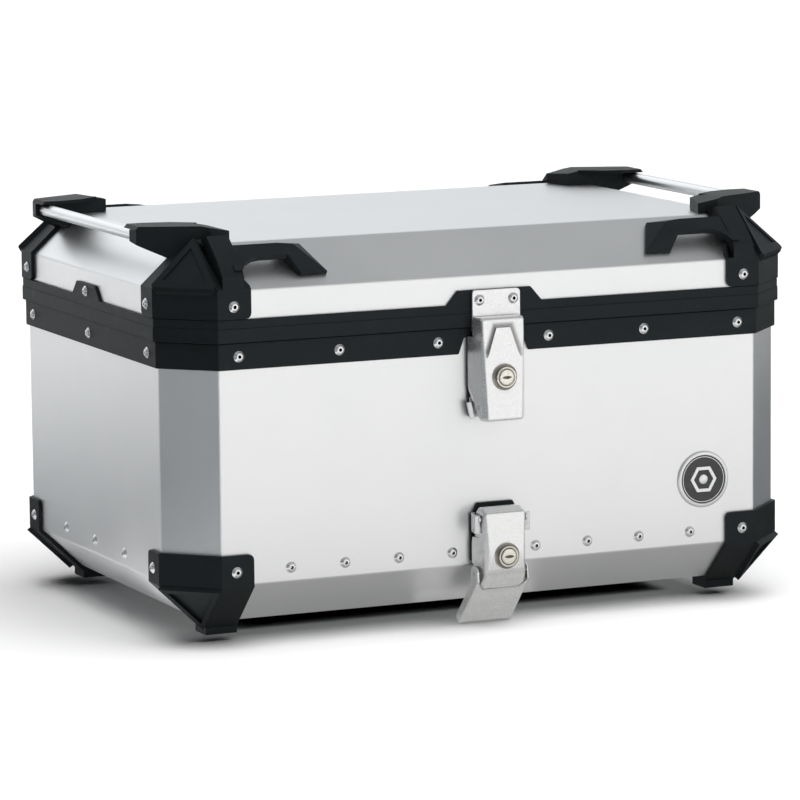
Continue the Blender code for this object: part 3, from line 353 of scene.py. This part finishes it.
def round_edges(piece, radius, segments=3, angle=28.0):
    """Rounds every sharp edge, by less where the faces beside it are narrow."""
    bm = bmesh.new()
    bm.from_mesh(piece.data)
    weight = bm.edges.layers.float.new("bevel_weight_edge")
    for edge in bm.edges:
        if len(edge.link_faces) == 2 and edge.calc_face_angle(0) > math.radians(angle):
            edge[weight] = min(1.0, 0.42 * free_length(edge) / radius)
    bm.to_mesh(piece.data)
    bm.free()
    rounding = piece.modifiers.new("rounded_edges", "BEVEL")
    rounding.width = radius
    rounding.segments = segments
    rounding.limit_method = "WEIGHT"
    rounding.harden_normals = False
    piece.data.shade_smooth()
    smooth = piece.modifiers.new("even_shading", "WEIGHTED_NORMAL")
    smooth.keep_sharp = True
    smooth.weight = 80


def softened(node, radius, segments=3, angle=28.0):
    """Shows a CAD node as a copy of itself with rounded edges."""
    piece = from_bmesh(f"{node}_soft", clean_copy(node))
    round_edges(piece, radius, segments, angle)
    show_for(piece, node)


def combine(piece, other, operation):
    """Joins, cuts or clips piece with other and deletes other."""
    step = piece.modifiers.new(operation, "BOOLEAN")
    step.object, step.operation, step.solver = other, operation, "EXACT"
    shape = piece.evaluated_get(bpy.context.evaluated_depsgraph_get())
    mesh = bpy.data.meshes.new_from_object(shape)
    piece.modifiers.clear()
    piece.data = mesh
    bpy.data.objects.remove(other, do_unlink=True)


def hull_planes(node):
    """The flat faces of the convex outline round a node, as (outward normal, distance)."""
    points = {tuple(round(c, 6) for c in vertex.co) for vertex in NODES[node].data.vertices}
    bm = bmesh.new()
    for point in sorted(points):
        bm.verts.new(point)
    made = bmesh.ops.convex_hull(bm, input=bm.verts)
    bmesh.ops.recalc_face_normals(bm, faces=bm.faces)
    faces = [face for face in made["geom"] if isinstance(face, bmesh.types.BMFace)]
    planes = []
    for face in sorted(faces, key=lambda f: -f.calc_area()):
        normal, distance = face.normal.copy(), face.normal.dot(face.verts[0].co)
        if face.calc_area() > 1e-8 and all(normal.dot(n) < math.cos(math.radians(1.5)) for n, _ in planes):
            planes.append((normal, distance))
    bm.free()
    return planes


def block_between(planes):
    """The convex block inside some planes, as a bmesh."""
    bm = bmesh.new()
    bmesh.ops.create_cube(bm, size=2.0)
    for normal, distance in planes:
        bmesh.ops.bisect_plane(bm, geom=bm.verts[:] + bm.edges[:] + bm.faces[:], dist=1e-7,
                               plane_co=normal * distance, plane_no=normal, clear_outer=True)
        rim = [edge for edge in bm.edges if len(edge.link_faces) < 2]
        if rim:
            bmesh.ops.holes_fill(bm, edges=rim, sides=0)
    bmesh.ops.remove_doubles(bm, verts=bm.verts, dist=2e-6)
    return bm


def rounded_block(name, planes, radius):
    """The block inside some planes with every edge and corner rounded to radius.

    Round each corner of the block shrunk by radius lie points of a ball, between the planes' normals
    that meet there. The convex outline of all these points is the rounded block.
    """
    steps = 6
    bm = block_between([(normal, distance - radius) for normal, distance in planes])
    points = []
    for vertex in bm.verts:
        near = [n for n, d in planes if abs(n.dot(vertex.co) - (d - radius)) < 5e-6]
        for i, first in enumerate(near):
            for j, second in enumerate(near[i + 1:], i + 1):
                for third in near[j + 1:] or [second]:
                    for a in range(steps + 1):
                        for b in range(steps + 1 - a):
                            way = first * a + second * b + third * (steps - a - b)
                            if way.length > 1e-6:
                                points.append(vertex.co + way.normalized() * radius)
    bm.free()
    bm = bmesh.new()
    for point in points:
        bm.verts.new(point)
    bmesh.ops.remove_doubles(bm, verts=bm.verts, dist=3e-6)
    made = bmesh.ops.convex_hull(bm, input=bm.verts)
    loose = {item for key in ("geom_interior", "geom_unused") for item in made[key]}
    bmesh.ops.delete(bm, geom=[v for v in loose if isinstance(v, bmesh.types.BMVert)], context="VERTS")
    bmesh.ops.dissolve_limit(bm, angle_limit=math.radians(0.3), verts=bm.verts, edges=bm.edges)
    bmesh.ops.recalc_face_normals(bm, faces=bm.faces)
    return from_bmesh(name, bm)


def swept(name, path, profile, face_normal):
    """A closed profile of (aside, up) swept along a path of points on a flat face, mitred at bends."""
    bm = bmesh.new()
    rings = []
    for index, point in enumerate(path):
        before = (point - path[index - 1]).normalized() if index else None
        after = (path[index + 1] - point).normalized() if index + 1 < len(path) else None
        ahead = ((before or after) + (after or before)).normalized()
        aside = ahead.cross(face_normal).normalized()
        stretch = 1.0 / max(0.3, aside.dot((before or after).cross(face_normal).normalized()))
        rings.append([bm.verts.new(point + aside * u * stretch + face_normal * h) for u, h in profile])
    for one, other in zip(rings, rings[1:]):
        for i in range(len(profile)):
            j = (i + 1) % len(profile)
            bm.faces.new((one[i], one[j], other[j], other[i]))
    bm.faces.new(rings[0])
    bm.faces.new(rings[-1][::-1])
    bmesh.ops.recalc_face_normals(bm, faces=bm.faces)
    return from_bmesh(name, bm)


def lathe(name, profile, place, direction, steps=32):
    """A profile of (radius, height) turned about the line through place along direction."""
    bm = bmesh.new()
    ring = [bm.verts.new((radius, 0.0, height)) for radius, height in profile]
    for one, other in zip(ring, ring[1:]):
        bm.edges.new((one, other))
    bmesh.ops.spin(bm, geom=bm.verts[:] + bm.edges[:], cent=(0, 0, 0), axis=(0, 0, 1),
                   angle=math.tau, steps=steps, use_merge=True)
    bmesh.ops.remove_doubles(bm, verts=bm.verts, dist=1e-6)
    bmesh.ops.recalc_face_normals(bm, faces=bm.faces)
    turn = Vector(direction).to_track_quat("Z", "Y").to_matrix().to_4x4()
    bmesh.ops.transform(bm, matrix=Matrix.Translation(place) @ turn, verts=bm.verts)
    made = from_bmesh(name, bm)
    made.data.shade_smooth()
    made.data.set_sharp_from_angle(angle=math.radians(35))
    return made


# ---- rivets ---------------------------------------------------------------------------------------
def rivet_mesh():
    """A blind rivet: domed flange, the hole its mandrel snapped out of, and the upset tail inside."""
    profile = [(0.0, -0.0010), (0.00120, -0.0010), (RIVET_BORE, 0.0018), (0.0015, 0.0022), (0.0019, 0.00225),
               (0.0026, 0.0020), (0.0033, 0.0015), (0.0038, 0.0010), (0.0041, 0.00055), (0.0044, 0.0004),
               (RIVET_HEAD, 0.0002), (RIVET_HEAD, 0.0), (0.0022, 0.0), (0.0022, -0.0050), (0.0032, -0.0062),
               (0.0033, -0.0082), (0.0024, -0.0092), (0.0, -0.0094)]
    made = lathe("rivet", profile, (0, 0, 0), (0, 0, 1), 24)
    made.data.materials.append(LOOKS["rivet_aluminium"])
    made.data.materials.append(SHADOW_HOLE)
    for face in made.data.polygons:
        centre = face.center
        if math.hypot(centre.x, centre.y) < RIVET_BORE + 0.00003 and -0.0012 < centre.z < 0.0018:
            face.material_index = 1
    mesh = made.data
    bpy.data.objects.remove(made, do_unlink=True)
    return mesh


RIVET = rivet_mesh()


def place_rivet(name, place, direction, body, node=None):
    """A rivet at a place, its head facing along direction, in place of a CAD node if one is named."""
    made = bpy.data.objects.new(name, RIVET)
    turn = Vector(direction).to_track_quat("Z", "Y").to_matrix().to_4x4()
    made.matrix_world = Matrix.Translation(place) @ turn
    scene.collection.objects.link(made)
    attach(made, body)
    if node:
        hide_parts(node)


def cad_rivets():
    """A finer rivet in place of each CAD one: its head's flat side faces the clamped sheet."""
    for node in [n for n in NODES if n.startswith("rivet_")]:
        low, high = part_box(node)
        place = middle_of(node)
        facing = Vector((0, 0, 0))
        axis = 0 if node.endswith("side") else 1
        facing[axis] = math.copysign(1.0, place[axis])
        outside = high[axis] if place[axis] > 0 else low[axis]
        place[axis] = outside - facing[axis] * RIVET_RISE
        place_rivet(f"{node}_fine", place, facing, BODY_OF[node], node)


def rivet_rows():
    """The rivets that aren't CAD nodes: the collar's row, the lower row and one on each side tab."""
    for wall, sign in (("front", -1), ("rear", 1)):
        for level, out, z, row in (("collar", BODY_COLLAR_OUT, BODY_ROW_Z, BODY_ROW_X),
                                   ("lower", 0.0, LOWER_ROW_Z, LOWER_ROW_X)):
            for index, x in enumerate([-x for x in reversed(row)] + list(row)):
                place_rivet(f"rivet_{level}_{wall}_{index}", (x, sign * (HALF_DEPTH + out), z),
                            (0, sign, 0), "case")
    for wall, sign in (("left", -1), ("right", 1)):
        for level, out, z, row in (("collar", BODY_COLLAR_OUT, BODY_ROW_Z, BODY_ROW_Y),
                                   ("lower", 0.0, LOWER_ROW_Z, LOWER_ROW_Y)):
            for index, y in enumerate([-y for y in reversed(row) if y] + list(row)):
                place_rivet(f"rivet_{level}_{wall}_{index}", (sign * (HALF_WIDTH + out), y, z),
                            (sign, 0, 0), "case")
        place_rivet(f"rivet_tab_{wall}", (sign * (HALF_WIDTH + LID_COLLAR_OUT - LEDGE), 0, TAB_Z),
                    (sign, 0, 0), "lid")


# ---- shells, collars, caps ------------------------------------------------------------------------
def stepped_collar():
    """The lid collar: above a fine ledge that runs all round, its face lies a little further in."""
    inner = [(n, d + (0.05 if abs(n.z) > 0.5 else -LEDGE)) for n, d in hull_planes("lid_collar")]
    outer = [((0, 0, -1), -LEDGE_Z), ((0, 0, 1), 0.30), ((1, 0, 0), 0.32), ((-1, 0, 0), 0.32),
             ((0, 1, 0), 0.25), ((0, -1, 0), 0.25)]
    ring = from_bmesh("ring", block_between([(Vector(n), d) for n, d in outer]))
    combine(ring, from_bmesh("core", block_between(inner)), "DIFFERENCE")
    piece = from_bmesh("lid_collar_stepped", clean_copy("lid_collar"))
    combine(piece, ring, "DIFFERENCE")
    round_edges(piece, 0.0007, 2)
    show_for(piece, "lid_collar")


def shells_and_trim():
    """The sheet shells, both collars, the caps, rails, hinges and tongues."""
    softened("body_shell", 0.0022, 3)
    softened("lid_shell", 0.0022, 3)
    softened("body_collar", 0.0007, 2)
    stepped_collar()
    softened("lid_gasket", 0.0006, 2)
    for corner in ("front_left", "front_right", "rear_left", "rear_right"):
        softened(f"lid_corner_{corner}", 0.0012, 3)
        softened(f"lower_corner_{corner}", 0.0012, 3)
    for side in ("left", "right"):
        softened(f"rail_{side}", 0.0006, 2, 60)
        softened(f"hinge_leaf_case_{side}", 0.0005, 2)
        softened(f"hinge_leaf_lid_{side}", 0.0005, 2)
        softened(f"hinge_pin_{side}", 0.0005, 2, 60)
        softened(f"locating_bracket_{side}", 0.0008, 3)


# ---- latches, locks, badge ------------------------------------------------------------------------
def rounded_node(node, radius, small, extra=(), dressing=None):
    """A node clipped by its own convex outline with every edge of that outline rounded.

    The outline is open at the back, where the node faces the wall. small is the rounding of the edges
    inside the outline, extra holds more planes that clip it, and dressing changes the node first.
    """
    planes = hull_planes(node) + list(extra)
    shaped = [(n, d + (radius + 0.002 if n.y > 0.35 else -0.00001)) for n, d in planes]
    piece = from_bmesh(f"{node}_rounded", clean_copy(node))
    if dressing:
        dressing(piece)
    combine(piece, rounded_block("outline", shaped, radius), "INTERSECT")
    round_edges(piece, small, 2, 32.0)
    return show_for(piece, node)


def face_frame(low, high):
    """A sloping front face through two (out, height) points: its start, up the face, and outward."""
    start = Vector((0, -(HALF_DEPTH + low[0]), low[1]))
    up = (Vector((0, -(HALF_DEPTH + high[0]), high[1])) - start).normalized()
    return start, up, up.cross(Vector((-1, 0, 0))).normalized()


def a_shaped_valley(piece):
    """Fills the CAD's plain groove and cuts the soft one: steep inside, running out flat outside."""
    start, up, outward = face_frame(*UPPER_FACE)

    def path(leg):
        points = [(-x, h, lift) for x, h, lift in leg] + list(reversed(leg))
        return [start + Vector((x, 0, 0)) + up * h + outward * lift for x, h, lift in points]

    filled = path([(0.0138, 0.0550, 0), (0.0058, 0.0786, 0)])
    band = [(-0.0036, -0.0014), (0.0036, -0.0014), (0.0036, 0.0004), (-0.0036, 0.0004)]
    combine(piece, swept("filler", filled, band, outward), "UNION")
    line = path([(0.0146, 0.0525, 0.0012)] + [(x, h, 0) for x, h in GROOVE_LEG])
    valley = [(0.0010, 0.0020), (-0.0004, 0.00005 - GROOVE_DEPTH), (-0.0012, -GROOVE_DEPTH),
              (-GROOVE_RUNOUT, 0.0001), (-GROOVE_RUNOUT, 0.0020)]
    combine(piece, swept("valley", line, valley, outward), "DIFFERENCE")


def paint_shade_in_valley(lever):
    """Paints shade into the groove: a copy of the cast metal whose colour darkens towards the bottom of the
    valley.
    """
    start, up, outward = face_frame(*UPPER_FACE)
    look = cast_metal("painted_shade_groove", 0.80, 0.32, recess=(outward, start.dot(outward)))
    lever.data.materials.append(look)
    (foot, lowest), (_, highest) = GROOVE_LEG
    for face in lever.data.polygons:
        offset = face.center - start
        beside = abs(offset.x) < foot + 1.22 * GROOVE_RUNOUT
        along = lowest - 0.008 < offset.dot(up) < highest + 1.08 * GROOVE_RUNOUT
        # the faces down in the valley take the painted shade
        if beside and along and offset.dot(outward) < -0.00015 and face.normal.dot(outward) > 0.2:
            face.material_index = 1


def eased(lower, corner, upper, radius):
    """Planes that round the bend between two front faces through three (out, height) points."""
    steps = 5
    normals = [face_frame(lower, corner)[2], face_frame(corner, upper)[2]]
    bend = Vector((0, -(HALF_DEPTH + corner[0]), corner[1]))
    middle = bend - (normals[0] + normals[1]) * radius / (1.0 + normals[0].dot(normals[1]))
    planes = []
    for step in range(1, steps):
        way = normals[0].lerp(normals[1], step / steps).normalized()
        planes.append((way, way.dot(middle) + radius))
    return planes


def lens_prism(name, half_width, half_height, y_range, height):
    """A prism along Y whose outline is a lens with pointed ends, as a bmesh object."""
    bm = bmesh.new()
    count = 20
    for y in y_range:
        turns = [math.tau * i / count for i in range(count)]
        edge = [(half_width * math.cos(t), half_height * math.sin(t) * abs(math.sin(t)) ** 0.4)
                for t in turns]
        bm.faces.new([bm.verts.new((x, y, height + z)) for x, z in edge])
    one, other = (list(loop.verts) for loop in bm.faces)
    for i in range(count):
        j = (i + 1) % count
        bm.faces.new((one[i], one[j], other[j], other[i]))
    bmesh.ops.recalc_face_normals(bm, faces=bm.faces)
    return from_bmesh(name, bm)


def lock(which, face_out):
    """A lock's face: a flange with a raised collar whose steep side is painted darker as shade, and the plug
    with its key slot.
    """
    height = middle_of(f"{which}_lock_barrel").z
    face_y = -(HALF_DEPTH + face_out)
    place, ahead = (0, face_y, height), (0, -1, 0)
    barrel = [(0.0069, 0.0040), (0.0072, 0.0047), (0.0076, 0.0050), (0.0083, 0.0050), (0.0088, 0.0046),
              (0.0090, 0.0040), (0.0091, 0.0027), (0.0094, 0.0024), (0.0101, 0.0022), (0.0107, 0.0018),
              (0.0110, 0.0010), (0.0110, 0.0003), (0.0097, 0.0003), (0.0097, -0.0090), (0.0069, -0.0090),
              (0.0069, 0.0040)]
    ring = lathe(f"{which}_lock_ring", barrel, place, ahead, 48)
    show_for(ring, f"{which}_lock_barrel")
    # the collar's steep outer side takes the dark nickel: painted shade
    ring.data.materials.append(PAINTED_SHADE_NICKEL)
    for face in ring.data.polygons:
        rise = face_y - face.center.y
        aside = math.hypot(face.center.x, face.center.z - height)
        if 0.0016 < rise < 0.0044 and aside > 0.0086:
            face.material_index = 1

    plug = from_bmesh(f"{which}_lock_core", clean_copy(f"{which}_lock_plug"))
    front = [(0.0, 0.0056), (0.0054, 0.0056), (0.0061, 0.0054), (0.0065, 0.0050), (0.0066, 0.0045),
             (0.0066, -0.0088), (0.0, -0.0088)]
    combine(plug, lathe("front", front, place, ahead, 48), "UNION")
    slot = lens_prism("slot", 0.0043, 0.0013, (face_y - 0.008, face_y + 0.004), height)
    combine(plug, slot, "DIFFERENCE")
    round_edges(plug, 0.0002, 2, 40.0)
    show_for(plug, f"{which}_lock_plug")


def lug(name, middle, size, turn, tilt=0.0):
    """A small rounded plate end of a latch bracket, turned about Z and tilted in its own plane."""
    frame_turn = Matrix.Rotation(turn, 4, "Z") @ Matrix.Rotation(tilt, 4, "Y")
    planes = [(Vector([sign if i == axis else 0.0 for i in range(3)]), size[axis] / 2)
              for axis in range(3) for sign in (-1.0, 1.0)]
    piece = rounded_block(name, planes, min(size) * 0.28)
    piece.data.transform(Matrix.Translation(middle) @ frame_turn)
    piece.data.shade_smooth()
    piece.data.set_sharp_from_angle(angle=math.radians(30))
    show(piece, "case", "zinc_plated_steel")


def latches():
    """The striker, both levers with their brackets, pads, pins and locks, the claw and the hook."""
    softened("striker_plate", 0.0011, 4)
    softened("upper_latch_pad", 0.0006, 2)
    softened("upper_latch_bracket", 0.0004, 2)
    softened("upper_latch_pin", 0.0003, 2, 60)
    paint_shade_in_valley(rounded_node("upper_lever", 0.0026, 0.0006, dressing=a_shaped_valley))
    softened("claw", 0.0005, 2)
    softened("claw_pin", 0.0003, 2, 60)
    softened("lower_latch_pad", 0.0006, 2)
    softened("lower_latch_bracket", 0.0004, 2)
    softened("lower_latch_pin", 0.0003, 2, 60)
    curl = eased(*LOWER_FACE[:3], 0.020) + eased(*LOWER_FACE[1:], 0.060)
    rounded_node("lower_lever", 0.0023, 0.0005, extra=curl)
    rounded_node("release_hook", 0.0016, 0.0005)
    softened("hook_pin", 0.0003, 2, 60)
    lock("upper", UPPER_LOCK_OUT)
    lock("lower", LOWER_LOCK_OUT)
    lug("upper_bracket_end", (-0.0238, -(HALF_DEPTH + 0.0072), 0.1665), (0.0044, 0.0024, 0.0140),
        math.radians(-20), math.radians(-12))
    for sign, side in ((-1, "left"), (1, "right")):
        lug(f"lower_bracket_end_{side}", (sign * 0.0228, -(HALF_DEPTH + 0.0160), 0.0722),
            (0.0046, 0.0022, 0.0150), math.radians(-12 * (sign < 0)))


def badge():
    """The round badge: a domed bright ring round a dark disc with a plain hexagon and dot."""
    place, ahead = middle_of("badge"), (0, -1, 0)
    place.y = -HALF_DEPTH
    disc = lathe("badge_disc", [(0.0, 0.0014), (0.0120, 0.0013), (0.0206, 0.0010), (0.0206, 0.0003),
                                (0.0, 0.0003)], place, ahead, 64)
    show_for(disc, "badge")
    bezel = [(0.0205, 0.0008), (0.0206, 0.0016), (0.0211, 0.0020), (0.0220, 0.0020), (0.0231, 0.0015),
             (0.0238, 0.0009), (0.0241, 0.0003), (0.0205, 0.0003), (0.0205, 0.0008)]
    line = [(0.0188, 0.0010), (0.0189, 0.0014), (0.0194, 0.0014), (0.0195, 0.0010), (0.0188, 0.0010)]
    dot = [(0.0, 0.0022), (0.0030, 0.0020), (0.0040, 0.0014), (0.0040, 0.0010), (0.0, 0.0010)]
    band = [(0.0089, 0.0011), (0.0092, 0.0018), (0.0122, 0.0018), (0.0126, 0.0011), (0.0089, 0.0011)]
    for name, profile, steps in (("ring", bezel, 64), ("line", line, 64), ("dot", dot, 32),
                                 ("hexagon", band, 6)):
        show(lathe(f"badge_{name}", profile, place, ahead, steps), "case", "satin_aluminium")


# ---- stage, light, camera -------------------------------------------------------------------------
def make_stage():
    """The plain floor the case stands on, far wider than the view."""
    bm = bmesh.new()
    bmesh.ops.create_grid(bm, x_segments=1, y_segments=1, size=40.0)
    bmesh.ops.translate(bm, vec=(0, 0, FLOOR), verts=bm.verts)
    floor = from_bmesh("floor", bm)
    floor.data.materials.append(studio_floor())


class Sky:
    """The studio's soft light as a smooth function of direction: a base level plus broad lobes."""

    def __init__(self, base):
        world = bpy.data.worlds.new("studio")
        world.use_nodes = True
        scene.world = world
        self.tree = world.node_tree
        self.ground = self.tree.nodes["Background"]
        self.way = self.tree.nodes.new("ShaderNodeTexCoord").outputs["Generated"]
        self.total = self.colour(base)

    def colour(self, rgb):
        node = self.tree.nodes.new("ShaderNodeCombineXYZ")
        for socket, value in zip(node.inputs, rgb):
            socket.default_value = value
        return node.outputs[0]

    def lobe(self, direction, inner, outer, rgb):
        """Adds rgb within inner degrees of a direction, fading to nothing at outer degrees."""
        towards = self.tree.nodes.new("ShaderNodeVectorMath")
        towards.operation = "DOT_PRODUCT"
        self.tree.links.new(self.way, towards.inputs[0])
        towards.inputs[1].default_value = Vector(direction).normalized()
        fade = self.tree.nodes.new("ShaderNodeMapRange")
        fade.interpolation_type = "SMOOTHERSTEP"
        self.tree.links.new(towards.outputs["Value"], fade.inputs["Value"])
        fade.inputs["From Min"].default_value = math.cos(math.radians(outer))
        fade.inputs["From Max"].default_value = math.cos(math.radians(inner))
        share = self.tree.nodes.new("ShaderNodeVectorMath")
        share.operation = "SCALE"
        share.inputs[0].default_value = rgb
        self.tree.links.new(fade.outputs["Result"], share.inputs["Scale"])
        both = self.tree.nodes.new("ShaderNodeVectorMath")
        self.tree.links.new(self.total, both.inputs[0])
        self.tree.links.new(share.outputs[0], both.inputs[1])
        self.total = both.outputs[0]

    def done(self):
        self.tree.links.new(self.total, self.ground.inputs["Color"])


def reflector(name, low, high, near, far=None, axis="Y"):
    """A card on the floor that only shows in reflections, its glow running from near to far along axis."""
    bm = bmesh.new()
    level = FLOOR + 0.002
    corners = ((low[0], low[1]), (high[0], low[1]), (high[0], high[1]), (low[0], high[1]))
    bm.faces.new([bm.verts.new((x, y, level)) for x, y in corners])
    card = from_bmesh(name, bm)
    look = Shader(name, Base_Color=(0.0, 0.0, 0.0, 1.0), Specular_IOR_Level=0.0, Emission_Strength=1.0)
    glow = (*near, 1.0)
    if far:
        split = look.add("ShaderNodeSeparateXYZ")
        look.link(look.place, split.inputs[0])
        index = "XY".index(axis)
        share = look.spread(split.outputs[axis], 0.0, 1.0, low[index], high[index])
        glow = look.mix(share, (*near, 1.0), (*far, 1.0))
    look.set("Emission Color", glow)
    card.data.materials.append(look.material)
    card.visible_camera = card.visible_diffuse = card.visible_shadow = False


def flag():
    """A black board under the case that only stops light bounced off the floor."""
    bm = bmesh.new()
    bmesh.ops.create_grid(bm, x_segments=1, y_segments=1, size=1.0)
    bmesh.ops.scale(bm, vec=(0.200, 0.112, 1.0), verts=bm.verts)
    bmesh.ops.translate(bm, vec=(0, 0, -0.0110), verts=bm.verts)
    board = from_bmesh("flag", bm)
    look = Shader("flag", Base_Color=(0.0, 0.0, 0.0, 1.0), Specular_IOR_Level=0.0)
    board.data.materials.append(look.material)
    board.visible_camera = board.visible_glossy = board.visible_shadow = False


def light_the_studio():
    """One broad overhead light, a plain sky, and floor cards that give the metal faces their tones."""
    sky = Sky((0.40, 0.41, 0.42))
    sky.lobe((0.50, -0.85, 0.05), 18, 60, (0.63, 0.62, 0.60))
    sky.lobe((0.35, 0.90, 0.20), 20, 60, (0.46, 0.47, 0.48))
    sky.lobe((-0.15, 0.88, 0.50), 8, 36, (0.42, 0.43, 0.44))
    sky.lobe((-0.90, -0.40, 0.05), 15, 60, (-0.19, -0.19, -0.185))
    sky.lobe((0.95, 0.32, -0.02), 16, 48, (-0.36, -0.355, -0.35))
    sky.done()
    scene.world.cycles_visibility.diffuse = False
    sun = bpy.data.lights.new("overhead", "SUN")
    sun.energy = 4.4
    sun.angle = math.radians(80)
    lamp = bpy.data.objects.new("overhead", sun)
    lamp.rotation_euler = Vector((-0.15, 0.25, -1.0)).to_track_quat("-Z", "Y").to_euler()
    lamp.visible_glossy = False
    scene.collection.objects.link(lamp)
    reflector("corner_floor_card", (-0.42, -0.30), (-0.26, -0.04), (1.0, 1.0, 1.0))
    reflector("hook_floor_card", (-0.05, -0.24), (0.06, -0.15), (0.88, 0.88, 0.86))
    reflector("near_floor_card", (-0.26, -0.34), (0.45, -0.15), (0.66, 0.66, 0.65), (0.26, 0.265, 0.26))
    reflector("under_floor_card", (-0.26, -0.15), (0.45, 0.20), (0.26, 0.27, 0.27), (0.14, 0.145, 0.15))
    reflector("front_floor_card", (-0.30, -1.4), (3.0, -0.34), (1.14, 1.14, 1.13), (0.82, 0.82, 0.81))
    reflector("right_floor_card", (0.45, -0.34), (4.0, 1.10), (0.09, 0.10, 0.11))
    reflector("left_near_card", (-0.80, -0.90), (-0.42, 0.10), (0.20, 0.215, 0.23), (0.26, 0.27, 0.28), "X")
    reflector("left_floor_card", (-4.0, -4.0), (-0.80, 0.20), (0.20, 0.22, 0.235))
    reflector("rear_floor_card", (-4.0, 0.20), (0.45, 1.60), (0.10, 0.11, 0.12), (1.06, 1.08, 1.10))


def make_camera():
    """The photograph's viewpoint: a long lens, a little above the lid, from the front left."""
    data = bpy.data.cameras.new("camera")
    camera = bpy.data.objects.new("camera", data)
    scene.collection.objects.link(camera)
    eye, target, roll = Vector((-1.6316, -3.6931, 0.7415)), Vector((0, 0, 0.130)), -0.0104
    ahead = (target - eye).normalized()
    level = ahead.cross(Vector((0, 0, 1))).normalized()
    upright = level.cross(ahead)
    right = level * math.cos(roll) + upright * math.sin(roll)
    up = -level * math.sin(roll) + upright * math.cos(roll)
    placed = Matrix((right, up, -ahead)).transposed().to_4x4()
    placed.translation = eye
    camera.matrix_world = placed
    data.sensor_width = 36.0
    data.lens = 213.18
    data.shift_x, data.shift_y = 0.0015, 0.0246
    data.clip_end = 60.0
    scene.camera = camera


shells_and_trim()
latches()
badge()
cad_rivets()
rivet_rows()
make_stage()
flag()
light_the_studio()
make_camera()
scene.view_settings.view_transform = "Standard"
